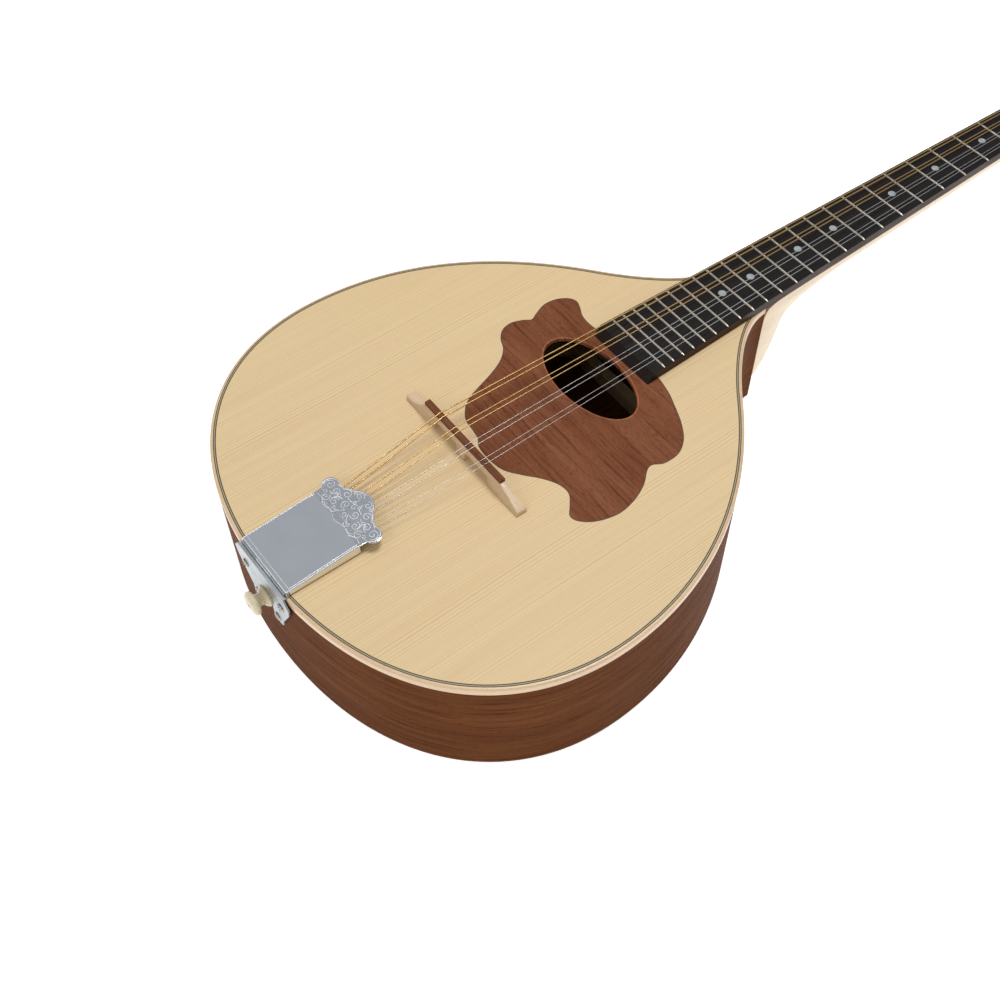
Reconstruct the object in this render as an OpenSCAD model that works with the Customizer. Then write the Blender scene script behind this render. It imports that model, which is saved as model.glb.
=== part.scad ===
// Flat-top bouzouki: eight strings in four pairs, floating bridge, hinged tailpiece cover.
// Lies on its flat back. +Z up out of the top, +Y towards the headstock, +X treble side.
// Origin: on the back's flat face, on the centreline, under the bridge line.

/* [Body] */
// Depth from the top's face to the back's face, mm
body_depth = 102; // [85:1:112]
// Half width of the top inside the binding, mm
half_width = 184; // [172:1:190]
// From the bridge line to the tail end of the top, mm
tail_length = 161; // [156:0.2:168]
// From the bridge line to the neck end of the body, mm
shoulder_length = 261; // [258:1:264]
// Width of the binding seen from above, mm
binding_width = 2.3; // [2.3:0.1:5.5]
// Height of the binding seen from the side, mm
binding_height = 6; // [5:0.5:9]
// Thickness of the bent sides, mm
side_thickness = 2.2; // [1.8:0.1:2.8]
// Thickness of the top, mm
top_thickness = 3; // [2.6:0.1:3.6]
// Thickness of the back, mm
back_thickness = 3; // [2.6:0.1:3.6]
// Half length of the oval soundhole, mm
hole_a = 45; // [38:1:48]
// Half width of the oval soundhole, mm
hole_b = 24; // [18:1:25]

/* [Strings and neck] */
// String length from nut to bridge, mm
scale_length = 620; // [600:5:650]
// Number of frets
fret_count = 24; // [20:1:24]
// Fingerboard width at the soundhole end, mm
board_wide = 60; // [56:0.5:62]
// Fingerboard width at the nut, mm
board_narrow = 35.4; // [34:0.2:40]
// Fingerboard thickness, mm
board_thick = 7.6; // [6:0.2:9]
// Height of the strings over the top at the bridge, mm
bridge_height = 15.5; // [14:0.5:18]
// Backward lean of the headstock, degrees
head_angle = 12; // [8:1:14]

/* [Tailpiece] */
// Width of the cover, mm
cover_width = 54.6; // [52:0.2:58]
// Height of the cover's face over the top, mm
cover_height = 8.6; // [8.4:0.1:9.4]
// Angle of the cover in this drawing, degrees
cover_open = 0; // [0:5:95]

/* [Hidden] */
$fn = 48;
T = body_depth;
SL = shoulder_length;
rim_out = binding_width;
rim_in = binding_width - side_thickness;
steps = 18;
purf = 0.62;
pw = 3 * purf;
pd = 1.4;
hole_y = 110;
bridge_y = -2.7;
bridge_x = 1.5;
saddle_t = 4.4;
board_end = 144.6;
board_foot = 139;
nut_y = scale_length;
nut_t = 5;
fret_h = 1;
course_x_bridge = [-25.1, -8.4, 8.4, 25.1];
pair_bridge = 4.2;
course_x_nut = [-12.9, -4.3, 4.3, 12.9];
pair_nut = 2.6;
string_r = [0.55, 0.42, 0.25, 0.2];
hook_y = -118;
hook_pitch = 5.4;
hook_z = T + 1.9;
face_z = T - 1;
head_t = 15;
veneer_t = 1.6;
post_y = [44, 74, 104, 134];
post_x = 22;
post_r = 3;
wind_z = 7;
worm_r = 2.7;
gear_r = 5.9;
gear_z = -head_t - 1.2 - 3.2;
tail_y = -tail_length - binding_width;
pivot_y = tail_y + 2.6;
pivot_z = T + 2.6;
cover_tilt = 3.8;

// ---- curves -------------------------------------------------------------
function bez(p, t) = pow(1 - t, 3) * p[0] + 3 * pow(1 - t, 2) * t * p[1]
    + 3 * (1 - t) * t * t * p[2] + pow(t, 3) * p[3];
function dbez(p, t) = 3 * pow(1 - t, 2) * (p[1] - p[0]) + 6 * (1 - t) * t * (p[2] - p[1])
    + 3 * t * t * (p[3] - p[2]);
function unit(v) = v / norm(v);
function right_of(v) = [v[1], -v[0]];

// one side of the body: tail round, waist-less bout, hollow shoulder
lower = [[0, -tail_length], [114, -tail_length], [half_width, -101], [half_width, -10]];
turn = [cos(141.4), sin(141.4)];
knee = [half_width - 102, 182];
upper = [[half_width, -10], [half_width, 67], knee - 80 * turn, knee];
shoulder = [knee, knee + 20 * turn, [24.4, SL - 30], [24.4, SL]];
function edge(seg, t, d) = bez(seg, t) + d * right_of(unit(dbez(seg, t)));
function half_rim(d) = concat(
    [for (i = [0 : steps]) edge(lower, i / steps, d)],
    [for (i = [1 : steps]) edge(upper, i / steps, d)],
    [for (i = [1 : steps]) edge(shoulder, i / steps, d)]);
function mirrored(p) = [for (i = [len(p) - 1 : -1 : 1]) [-p[i][0], p[i][1]]];
function rim(d) = concat(half_rim(d), mirrored(half_rim(d)));

// smooth closed curve through a few marked points
function catmull(p, i, t) = let (n = len(p), a = p[(i + n - 1) % n], b = p[i % n],
    c = p[(i + 1) % n], d = p[(i + 2) % n])
    0.5 * ((2 * b) + (c - a) * t + (2 * a - 5 * b + 4 * c - d) * t * t
    + (3 * b - a - 3 * c + d) * t * t * t);
function loop_through(p, k) = [for (i = [0 : len(p) - 1]) for (j = [0 : k - 1]) catmull(p, i, j / k)];
plate_marks = [
    [20, 150], [42, 147], [58, 141], [72, 134.5], [84, 126], [91, 115], [91.5, 102],
    [87.5, 94], [89, 88], [97, 78], [103, 64], [105, 49], [101, 34], [94, 24.5],
    [87, 22], [80.5, 27], [72, 33], [62, 32.5], [51, 26.5], [40, 17.5], [29, 10],
    [16, 7.5], [3, 8.5], [-4, 12.5], [-12, 14], [-22, 15.5], [-31, 21.5], [-37, 29.5],
    [-41, 40], [-46, 55], [-52, 68], [-60, 77], [-69, 81.5], [-75.5, 88], [-77.5, 97],
    [-74.5, 106], [-71, 112], [-74, 119], [-77.5, 129], [-76.5, 139], [-72, 147],
    [-66, 150.5], [-59, 148.5], [-51, 144.5], [-40, 143.5], [-20, 146]];

// ---- general shapes -----------------------------------------------------
module slab(d, z0, z1) {
    translate([0, 0, z0])
        linear_extrude(z1 - z0)
            polygon(rim(d));
}
module void_slab(d, z0, z1) {
    translate([0, 0, z0])
        linear_extrude(z1 - z0)
            union() {
                polygon(rim(d));
                translate([-24.4 - d, SL - 1])
                    square([2 * (24.4 + d), 6]);
            }
}
module ring(d0, d1, z0, z1) {
    difference() {
        slab(d1, z0, z1);
        void_slab(d0, z0 - 1, z1 + 1);
    }
}
module oval(a, b, h) {
    linear_extrude(h)
        polygon([for (i = [0 : 5 : 355]) [a * cos(i), b * sin(i)]]);
}
module box(x0, x1, y0, y1, z0, z1) {
    translate([x0, y0, z0])
        cube([x1 - x0, y1 - y0, z1 - z0]);
}
module rod(a, b, r) {
    v = b - a;
    translate(a)
        rotate([0, acos(v[2] / norm(v)), atan2(v[1], v[0])])
            cylinder(r = r, h = norm(v), $fn = 16);
}
module on_head() {
    translate([0, nut_y + nut_t, face_z])
        rotate([-head_angle, 0, 0])
            children();
}
module cover_turn(a) {
    translate([0, pivot_y, pivot_z])
        rotate([a, 0, 0])
            translate([0, -pivot_y, -pivot_z])
                children();
}

// ---- body ---------------------------------------------------------------
module soundhole(z0, z1) {
    translate([0, hole_y, z0])
        oval(hole_a, hole_b, z1 - z0);
}
module top_half(s) {
    intersection() {
        difference() {
            union() {
                slab(0, T - top_thickness, T - pd);
                slab(-pw, T - top_thickness, T);
            }
            soundhole(T - 10, T + 10);
            translate([0, 0, T - 1.2])
                linear_extrude(5)
                    polygon(loop_through(plate_marks, 5));
        }
        box(s > 0 ? 0 : -300, s > 0 ? 300 : 0, -300, 300, 0, 200);
    }
}
module soundboard() {
    color("#e3c795") {
        top_half(-1);
        top_half(1);
    }
}
module rosette_plate() {
    color("#6b3f26")
        difference() {
            translate([0, 0, T - 1.2])
                linear_extrude(1.2)
                    polygon(loop_through(plate_marks, 5));
            soundhole(T - 10, T + 10);
        }
}
module purfling_black() {
    color("#1c1a18") {
        ring(-purf, 0, T - pd, T);
        ring(-pw, -2 * purf, T - pd, T);
    }
}
module purfling_white() {
    color("#e9e2cf")
        ring(-2 * purf, -purf, T - pd, T);
}
module binding() {
    color("#e2bd8c")
        ring(0, rim_out, T - binding_height, T);
}
module side_half(s) {
    intersection() {
        ring(rim_in, rim_out, back_thickness, T - binding_height);
        difference() {
            box(s > 0 ? 0 : -300, s > 0 ? 300 : 0, -300, 300, 0, 200);
            end_pin_bore(3.64);
            tail_screws_cut();
        }
    }
}
module side_bass() {
    color("#7a4b2c")
        side_half(-1);
}
module side_treble() {
    color("#7a4b2c")
        side_half(1);
}
module back_plate() {
    color("#6f4226")
        for (s = [-1, 1])
            intersection() {
                slab(rim_out, 0, back_thickness);
                box(s > 0 ? 0 : -300, s > 0 ? 300 : 0, -300, 300, -1, 200);
            }
}
module back_strip() {
    color("#d8b98a")
        box(-7, 7, -tail_length + 18, SL - 40, back_thickness, back_thickness + 2);
}
module inside_space() {
    slab(rim_in, back_thickness, T - binding_height);
    slab(0, T - binding_height, T - top_thickness);
}
module tenon(z0) {
    box(-12, 12, SL - 22, SL, z0, T - top_thickness);
}
module end_blocks() {
    color("#cda676") {
        difference() {
            intersection() {
                inside_space();
                box(-100, 100, SL - 40, SL, 0, T);
            }
            tenon(T - 82);
        }
        difference() {
            intersection() {
                inside_space();
                box(-38, 38, -300, -tail_length + 18, 0, T);
            }
            end_pin_bore(3.64);
            tail_screws_cut();
        }
    }
}
module linings() {
    color("#d2ae7e")
        difference() {
            union() {
                ring(-3.6, rim_in, back_thickness, back_thickness + 12);
                ring(-3.6, rim_in, T - 15, T - binding_height);
                ring(-3.6, 0, T - binding_height, T - top_thickness);
            }
            box(-100, 100, SL - 40, SL + 10, 0, T);
            box(-38, 38, -300, -tail_length + 18, 0, T);
        }
}
module top_braces() {
    color("#dcc394")
        intersection() {
            union() {
                for (y = [62, 152])
                    box(-200, 200, y, y + 8, T - top_thickness - 11, T - top_thickness);
                for (s = [-1, 1])
                    translate([s * 22, 62, T - top_thickness - 9])
                        rotate([0, 0, s * -167])
                            translate([-3, 0, 0])
                                cube([6, 150, 9]);
            }
            void_slab(-3.6, 0, T);
            box(-300, 300, -tail_length + 20, SL - 40, 0, T);
        }
}
module back_braces() {
    color("#dcc394")
        difference() {
            intersection() {
                for (y = [-96, -10, 86, 170])
                    box(-200, 200, y, y + 9, back_thickness, back_thickness + 13);
                void_slab(-3.6, 0, T);
            }
            box(-7, 7, -300, 300, 0, back_thickness + 2);
        }
}

// ---- bridge -------------------------------------------------------------
base_len = 129.4;
saddle_len = 87;
base_h = bridge_height - 2.4;
module bridge_base() {
    color("#dcb98c")
        intersection() {
            bridge_block();
            // wedge section: 9 mm at the foot, as thin as the strip at the top
            translate([bridge_x - 100, bridge_y, T])
                rotate([90, 0, 90])
                    linear_extrude(200)
                        polygon([[-4.5, 0], [4.5, 0], [saddle_t / 2, base_h], [-saddle_t / 2, base_h]]);
        }
}
module bridge_block() {
    translate([bridge_x, bridge_y + 6, T])
        rotate([90, 0, 0])
            linear_extrude(12)
                difference() {
                    polygon(concat(
                            [[-base_len / 2, 0], [base_len / 2, 0], [base_len / 2, 4.2]],
                            [for (i = [0 : 6]) let (u = i / 6)
                                [base_len / 2 - u * (base_len - saddle_len) / 2,
                                 4.2 + (base_h - 4.2) * u]],
                            [for (i = [0 : 8]) let (u = 1 - i / 8)
                                [-base_len / 2 + 4 + u * ((base_len - saddle_len) / 2 - 4),
                                 4.4 + (base_h - 4.4) * u * u]],
                            [[-base_len / 2, 4.2]]));
                        for (s = [-1, 1])
                            bridge_arch(s);
                    }
}
// flat-topped arch with rounded upper corners, cut through the base
module bridge_arch(s) {
    translate([s * 17.6, 0]) {
        translate([-13, -1])
            square([26, 6]);
        translate([-10, 4])
            square([20, 4]);
        for (q = [-1, 1])
            translate([q * 10, 5])
                circle(r = 3);
    }
}
module bridge_saddle() {
    color("#5d3420")
        difference() {
            box(bridge_x - saddle_len / 2, bridge_x + saddle_len / 2,
                bridge_y - saddle_t / 2, bridge_y + saddle_t / 2, T + base_h, T + bridge_height + 0.3);
            saddle_slots();
        }
}

// ---- tailpiece ----------------------------------------------------------
module flange_shape() {
    difference() {
        union() {
            polygon([[-27.8, 1], [27.8, 1], [33.4, -6], [31.6, -14], [17, -41], [-17, -41],
                [-31.6, -14], [-33.4, -6]]);
            for (s = [-1, 1])
                translate([s * 13, -39])
                    circle(r = 6);
        }
        translate([0, -28])
            circle(r = 8.4);
        translate([-7, -60])
            square([14, 30]);
    }
}
module tail_screw_spots() {
    for (s = [-1, 1]) {
        translate([s * 22, tail_y, T - 15])
            children();
        translate([s * 12.4, tail_y, T - 38])
            children();
    }
}
module tail_screws_cut() {
    tail_screw_spots()
        rotate([-90, 0, 0])
            translate([0, 0, -1.8])
                cylinder(r = 1.43, h = 14, $fn = 20);
}
hinge_half = cover_width / 2 - 1.4;
module tailpiece_base() {
    p = pivot_y;
    color("#b9bcc0")
        difference() {
            union() {
                box(-hinge_half, hinge_half, p + 1.2, -108, T, T + 1);
                box(-27.8, 27.8, tail_y - 1.2, p + 1.4, T, T + 1);
                translate([0, tail_y, T])
                    rotate([90, 0, 0])
                        linear_extrude(1.2)
                            flange_shape();
                // two outer knuckles of the hinge, each on a web of the base
                for (s = [-1, 1]) {
                    translate([s > 0 ? 9 : -hinge_half, p, pivot_z])
                        rotate([0, 90, 0])
                            cylinder(r = 1.3, h = hinge_half - 9);
                    box(s > 0 ? 9 : -hinge_half, s > 0 ? hinge_half : -9,
                        p - 0.6, p + 0.6, T + 0.5, pivot_z);
                }
                // string hooks
                for (i = [-3.5 : 1 : 3.5])
                    translate([i * hook_pitch, hook_y, T]) {
                        cylinder(r = 1, h = 4.6, $fn = 20);
                        translate([0, 0, 4.2])
                            cylinder(r = 1.5, h = 0.8, $fn = 20);
                    }
            }
            translate([-40, p, pivot_z])
                rotate([0, 90, 0])
                    cylinder(r = 0.65, h = 80);
            tail_screws_cut();
        }
}
module curl(x, y, r) {
    translate([x, y])
        circle(r = r);
}
module ornament_shape() {
    curl(0, -90.5, 13);
    for (s = [-1, 1]) {
        curl(s * 25.5, -93.6, 6.2);
        curl(s * 17.5, -95, 7.2);
        curl(s * 8.5, -93.5, 10.5);
        curl(s * 20, -100.5, 6);
    }
    translate([-23, -108])
        square([46, 12]);
}
front = -105;
// height of the cover's sloping face at y
function face_h(y) = T + cover_height + (y - front) * tan(cover_tilt);
module cover_strip(x0, x1, low0, low1) {
    y0 = pivot_y - 0.4;
    translate([x0, 0, 0])
        rotate([90, 0, 90])
            linear_extrude(x1 - x0)
                polygon([[y0, low0], [front, low1], [front, face_h(front)], [y0, face_h(y0)]]);
}
module on_cover() {
    translate([0, front, T + cover_height])
        rotate([cover_tilt, 0, 0])
            translate([0, -front, 0])
                children();
}
module cover_at_rest() {
    w = cover_width;
    difference() {
        union() {
            cover_strip(-w / 2, w / 2, face_h(pivot_y - 0.4) - 0.9, face_h(front) - 0.9);
            for (s = [-1, 1])
                cover_strip(s > 0 ? w / 2 - 0.9 : -w / 2, s > 0 ? w / 2 : -w / 2 + 0.9,
                    T + 1.4, T + 1.4);
            on_cover() {
                translate([0, 0, -1])
                    linear_extrude(1)
                        ornament_shape();
                // raised scrolls
                for (s = [-1, 1]) {
                    translate([s * 25.5, -93.6, -0.2])
                        ring_bead(3.6, 0.5);
                    translate([s * 17, -97.5, -0.2])
                        ring_bead(3.2, 0.5);
                    translate([s * 9, -91, -0.2])
                        ring_bead(3.8, 0.5);
                }
                translate([0, -97, -0.2])
                    ring_bead(4.4, 0.6);
                translate([0, -85.5, -0.2])
                    ring_bead(3, 0.5);
            }
            // middle knuckle
            translate([-8.9, pivot_y, pivot_z])
                rotate([0, 90, 0])
                    cylinder(r = 1.3, h = 17.8);
            box(-8.9, 8.9, pivot_y - 0.3, pivot_y + 1.2, pivot_z + 0.9, T + 4.6);
        }
        translate([-40, pivot_y, pivot_z])
            rotate([0, 90, 0])
                cylinder(r = 0.7, h = 80);
    }
}
module ring_bead(r, b) {
    rotate_extrude($fn = 32)
        translate([r, 0])
            circle(r = b, $fn = 10);
}
module tailpiece_cover() {
    color("#c3c6cb")
        cover_turn(cover_open)
            cover_at_rest();
}
module tailpiece_hinge_pin() {
    color("#a9abad")
        translate([-hinge_half, pivot_y, pivot_z])
            rotate([0, 90, 0])
                cylinder(r = 0.65, h = 2 * hinge_half);
}
module end_pin_bore(r) {
    translate([0, tail_y - 2, T - 28])
        rotate([-90, 0, 0])
            cylinder(r = r, h = 18);
}
module end_pin() {
    color("#e9dcb4")
        translate([0, tail_y, T - 28])
            rotate([90, 0, 0])
                difference() {
                    rotate_extrude($fn = 64)
                        polygon([[0, -14], [3.6, -14], [3.6, 0], [8, 0], [8, 2.2], [6.4, 4.2],
                            [4.6, 5.4], [4.4, 7], [5.4, 8.6], [8.2, 9.6], [8.9, 10.8],
                            [8.7, 12.4], [7.4, 13.6], [5, 14.3], [0, 14.5]]);
                    translate([0, 0, 9])
                        cylinder(r = 1.3, h = 8);
                }
}

// ---- neck ---------------------------------------------------------------
function board_half(y) = (board_wide + (board_narrow - board_wide) * (y - 155) / (nut_y - 155)) / 2;
module neck_shaft() {
    w0 = board_half(SL);
    w1 = board_half(nut_y);
    d0 = 22;
    d1 = 16;
    r0 = (w0 * w0 + d0 * d0) / (2 * d0);
    r1 = (w1 * w1 + d1 * d1) / (2 * d1);
    c0 = r0 - d0;
    c1 = r1 - d1;
    len = nut_y + nut_t - SL;
    drop = atan2(c1 - c0, len);
    intersection() {
        translate([0, SL - 2, T + c0])
            rotate([-90 + drop, 0, 0])
                cylinder(r1 = r0, r2 = r1, h = len + 6, $fn = 96);
        box(-60, 60, SL, nut_y + nut_t, T - 60, T);
    }
}
module heel() {
    // side profile with one long hollow curve, narrowed in plan and from the front
    prof = concat(
        [[SL, T], [SL + 96, T], [SL + 96, T - 21]],
        [for (i = [0 : 14]) let (a = i / 14 * 90)
            [SL + 96 - 56 * sin(a), T - 21 - 37 * (1 - cos(a))]],
        [[SL + 37, T - 80], [SL + 33, 0.4], [SL, 0.4]]);
    intersection() {
        translate([-60, 0, 0])
            rotate([90, 0, 90])
                linear_extrude(120)
                    polygon(prof);
        linear_extrude(T)
            polygon(concat(
                [for (i = [0 : 24]) let (u = i / 24) [board_half(SL) * sqrt(1 - pow(u, 2.2)), SL + 74 * u]],
                [for (i = [24 : -1 : 0]) let (u = i / 24)
                    [-board_half(SL) * sqrt(1 - pow(u, 2.2)), SL + 74 * u]]));
        translate([0, SL + 120, 0])
            rotate([90, 0, 0])
                linear_extrude(140)
                    polygon(concat(
                        [for (i = [0 : 16]) let (u = i / 16)
                            [15 + (board_half(SL) - 15) * pow(sin(90 * u), 0.8), T * u]],
                        [for (i = [16 : -1 : 0]) let (u = i / 16)
                            [-15 - (board_half(SL) - 15) * pow(sin(90 * u), 0.8), T * u]]));
    }
}
head_half = [[0, 17.7], [8, 18.6], [20, 31], [28, 36], [60, 37], [152, 35.6], [166, 31], [174, 20],
    [172, 9], [176, 0]];
module head_shape(inset) {
    p = head_half;
    polygon(concat([for (q = p) [q[1] - (q[1] > 0 ? inset : 0), q[0]]],
        [for (i = [len(p) - 2 : -1 : 0]) [-p[i][1] + inset, p[i][0]]]));
}
module head_bores() {
    for (s = [-1, 1])
        for (y = post_y)
            translate([s * post_x, y, -head_t - 1])
                cylinder(r = 3.4, h = head_t + 1.01);
}
module truss_space() {
    translate([0, SL + 20, T - 8])
        rotate([-90, 0, 0])
            cylinder(r = 2.6, h = nut_y - SL - 18);
    translate([0, nut_y + 1, T - 8])
        rotate([-90, 0, 0])
            cylinder(r = 3.9, h = 70);
}
module neck() {
    color("#e0b88a")
        difference() {
            union() {
                neck_shaft();
                heel();
                tenon(T - 82);
                on_head()
                    translate([0, 0, -head_t])
                        linear_extrude(head_t)
                            head_shape(0);
                // swelling behind the nut
                intersection() {
                    translate([0, nut_y - 14, T - 7])
                        rotate([-97, 0, 0])
                            cylinder(r = 13.4, h = 44, $fn = 64);
                    on_head()
                        box(-18, 18, -60, 60, -60, -0.5);
                    box(-60, 60, SL, nut_y + 80, 0, T);
                }
            }
            on_head() {
                head_bores();
                box(-60, 60, 0, 240, -veneer_t, 40);
                head_screw_cuts();
            }
            truss_space();
        }
}
module headstock_face() {
    color("#2a1d15")
        on_head()
            difference() {
                translate([0, 0, -veneer_t])
                    linear_extrude(veneer_t)
                        intersection() {
                            head_shape(0);
                            translate([-60, 0])
                                square([120, 240]);
                        }
                for (s = [-1, 1])
                    for (y = post_y)
                        translate([s * post_x, y, -5])
                            cylinder(r = 3.4, h = 10);
                translate([-4.2, 0, -10])
                    cube([8.4, 24, 20]);
                truss_cover_screws(1);
            }
}
module fingerboard() {
    color("#1d1714")
        difference() {
            translate([0, 0, T])
                linear_extrude(board_thick)
                    polygon([[-board_half(board_foot), board_foot], [board_half(board_foot), board_foot],
                        [board_half(nut_y), nut_y], [-board_half(nut_y), nut_y]]);
            // sloping soundhole end
            translate([-60, board_foot, T + 1])
                rotate([atan2(board_thick - 1, board_end - board_foot), 0, 0])
                    cube([120, 40, 20]);
            fret_slots(0.001);
            dot_cuts();
        }
}
function fret_y(n) = nut_y - (nut_y * (1 - pow(2, -n / 12)));
module fret_slots(e) {
    for (n = [1 : fret_count])
        box(-40, 40, fret_y(n) - 0.3, fret_y(n) + 0.3, T + board_thick - 2, T + board_thick + e);
}
module frets() {
    color("#c9c9c6")
        for (n = [1 : fret_count])
            translate([0, fret_y(n), T + board_thick]) {
                w = board_half(fret_y(n));
                intersection() {
                    translate([-w, 0, -0.35])
                        rotate([0, 90, 0])
                            cylinder(r = 1.35, h = 2 * w, $fn = 32);
                    box(-w, w, -2, 2, 0, 3);
                }
                box(-w, w, -0.3, 0.3, -2, 0.2);
            }
}
dot_frets = [3, 5, 7, 10, 12, 15, 17, 19, 21];
shown_dots = [for (n = dot_frets) if (n <= fret_count - 7) n];
module dot_cuts() {
    for (n = shown_dots)
        translate([0, (fret_y(n) + fret_y(n - 1)) / 2, T + board_thick - 1.5])
            cylinder(r = 3.1, h = 3, $fn = 32);
}
module position_dots() {
    color("#dfe0dc")
        for (n = shown_dots)
            translate([0, (fret_y(n) + fret_y(n - 1)) / 2, T + board_thick - 1.5])
                cylinder(r = 3.1, h = 1.5, $fn = 32);
}
nut_top = board_thick + fret_h + 1.4;
module nut() {
    w = board_half(nut_y);
    color("#eee6cf")
        difference() {
            translate([-w, nut_y + nut_t, T])
                rotate([90, 0, 0])
                    linear_extrude(nut_t)
                        polygon([[0, 0], [2 * w, 0], [2 * w, nut_top - 0.8], [2 * w - 1.2, nut_top],
                            [1.2, nut_top], [0, nut_top - 0.8]]);
            nut_slots();
        }
}
module truss_rod() {
    color("#8d8f91")
        translate([0, SL + 22, T - 8])
            rotate([-90, 0, 0])
                cylinder(r = 2.5, h = nut_y + 12 - SL - 22);
}
module truss_rod_nut() {
    color("#b08d4a")
        translate([0, nut_y + 2.4, T - 8])
            rotate([-90, 0, 0])
                difference() {
                    union() {
                        cylinder(r = 3.3, h = 10, $fn = 6);
                        cylinder(r = 3.3, h = 1.5);
                    }
                    translate([0, 0, -1])
                        cylinder(r = 2.56, h = 12);
                }
}
module truss_cover_screws(cut) {
    for (q = [[-6.6, 6], [6.6, 6], [0, 29]])
        translate([q[0], q[1], 0])
            if (cut > 0)
                translate([0, 0, -6])
                    cylinder(r = 0.9, h = 12, $fn = 16);
            else
                translate([0, 0, 1.6])
                    wood_screw(1.9, 0.9, 7);
}
module truss_rod_cover() {
    color("#191513")
        on_head()
            difference() {
                linear_extrude(1.6)
                    union() {
                        polygon([[-10, 2], [10, 2], [9, 12], [4, 26], [-4, 26], [-9, 12]]);
                        translate([0, 29])
                            circle(r = 5);
                    }
                truss_cover_screws(1);
            }
}

// ---- tuners -------------------------------------------------------------
module wood_screw(rh, rs, depth) {
    difference() {
        union() {
            intersection() {
                translate([0, 0, -rh * 0.6])
                    sphere(r = rh * 1.17, $fn = 40);
                cylinder(r = rh, h = rh, $fn = 40);
            }
            translate([0, 0, 0.02 - depth])
                cylinder(r = rs, h = depth, $fn = 20);
        }
        translate([-rh, -0.22, 0.22 * rh])
            cube([2 * rh, 0.44, 3]);
        translate([-0.22, -rh, 0.22 * rh])
            cube([0.44, 2 * rh, 3]);
    }
}
module plate_screw_spots() {
    for (s = [-1, 1])
        for (y = [26.5, 56.5, 86.5, 116.5, 146.5])
            translate([s * (post_x + 3), y, -head_t - 1.2])
                rotate([180, 0, 0])
                    children();
}
module head_screw_cuts() {
    plate_screw_spots()
        translate([0, 0, -9])
            cylinder(r = 1, h = 12, $fn = 20);
    truss_cover_screws(1);
}
worm_off = gear_r + worm_r + 0.12;
module tuner_plates() {
    color("#b4b7bb")
        on_head()
            difference() {
                for (s = [-1, 1]) {
                    translate([s * (post_x + 3), 0, -head_t - 1.2])
                        linear_extrude(1.2)
                            union() {
                                translate([-8, 30])
                                    square([16, 118]);
                                for (y = [30, 148])
                                    translate([0, y])
                                        circle(r = 8);
                            }
                    // two ears carry each worm
                    for (y = post_y)
                        for (x = [post_x - 6.6, post_x + 6.6])
                            translate([s * x - 1, y - worm_off - 3.4, gear_z - 3.4])
                                cube([2, 6.8, 6.7]);
                }
                for (s = [-1, 1])
                    for (y = post_y) {
                        translate([s * post_x, y, -head_t - 3])
                            cylinder(r = 3.05, h = 5);
                        translate([s * (post_x - 9), y - worm_off, gear_z])
                            rotate([0, s * 90, 0])
                                cylinder(r = 1.65, h = 20);
                    }
                head_screw_cuts();
            }
}
module post_bushings() {
    color("#c4c6c8")
        on_head()
            for (s = [-1, 1])
                for (y = post_y)
                    translate([s * post_x, y, 0])
                        difference() {
                            union() {
                                cylinder(r = 5.4, h = 1.2);
                                translate([0, 0, -8])
                                    cylinder(r = 3.4, h = 8.5);
                            }
                            translate([0, 0, -9])
                                cylinder(r = 3.05, h = 12);
                        }
}
module tuner_post(s, y) {
    color("#a98c4d")
        on_head()
            translate([s * post_x, y, 0])
                union() {
                    translate([0, 0, gear_z - 2.4])
                        cylinder(r = post_r, h = wind_z - 1.6 - gear_z + 2.4);
                    translate([0, 0, wind_z - 1.7])
                        cylinder(r = 2.6, h = 5);
                    translate([0, 0, wind_z + 3.2])
                        cylinder(r = post_r, h = 2.6);
                    difference() {
                        translate([0, 0, gear_z - 2.2])
                            cylinder(r = gear_r, h = 4.4);
                        for (k = [0 : 13])
                            rotate([0, 0, k * 360 / 14])
                                translate([gear_r + 0.25, 0, gear_z - 3])
                                    cylinder(r = 0.85, h = 6, $fn = 12);
                    }
                }
}
module tuner_worm(s, y) {
    color("#a9abad")
        on_head()
            translate([s * post_x, y - worm_off, gear_z])
                rotate([0, s * 90, 0])
                    union() {
                        translate([0, 0, -8.4])
                            cylinder(r = 1.6, h = 8.4 + 22);
                        rotate_extrude($fn = 40)
                            polygon([[0, -5.3], [1.9, -5.3], [2.7, -4.3], [1.9, -3.3], [2.7, -2.2],
                                [1.9, -1.1], [2.7, 0], [1.9, 1.1], [2.7, 2.2], [1.9, 3.3], [2.7, 4.3],
                                [1.9, 5.3], [0, 5.3]]);
                    }
}
module tuner_knob(s, y) {
    color("#ece2c4")
        on_head()
            translate([s * (post_x + 18.6), y - worm_off, gear_z])
                rotate([0, s * 90, 0])
                    difference() {
                        union() {
                            cylinder(r1 = 2.9, r2 = 2.5, h = 5);
                            translate([0, 0, 10.6])
                                rotate([90, 0, 0])
                                    intersection() {
                                        translate([0, 0, -2.7])
                                            cylinder(r = 7.6, h = 5.4);
                                        sphere(r = 7.9, $fn = 64);
                                    }
                        }
                        translate([0, 0, -1])
                            cylinder(r = 1.6, h = 1 + 3.4);
                    }
}

module wood_screws() {
    color("#d0d1d2") {
        tail_screw_spots()
            rotate([90, 0, 0])
                translate([0, 0, 1.2])
                    wood_screw(2.9, 1.4, 12);
        on_head() {
            plate_screw_spots()
                wood_screw(2.1, 1, 8);
            truss_cover_screws(0);
        }
    }
}

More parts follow.
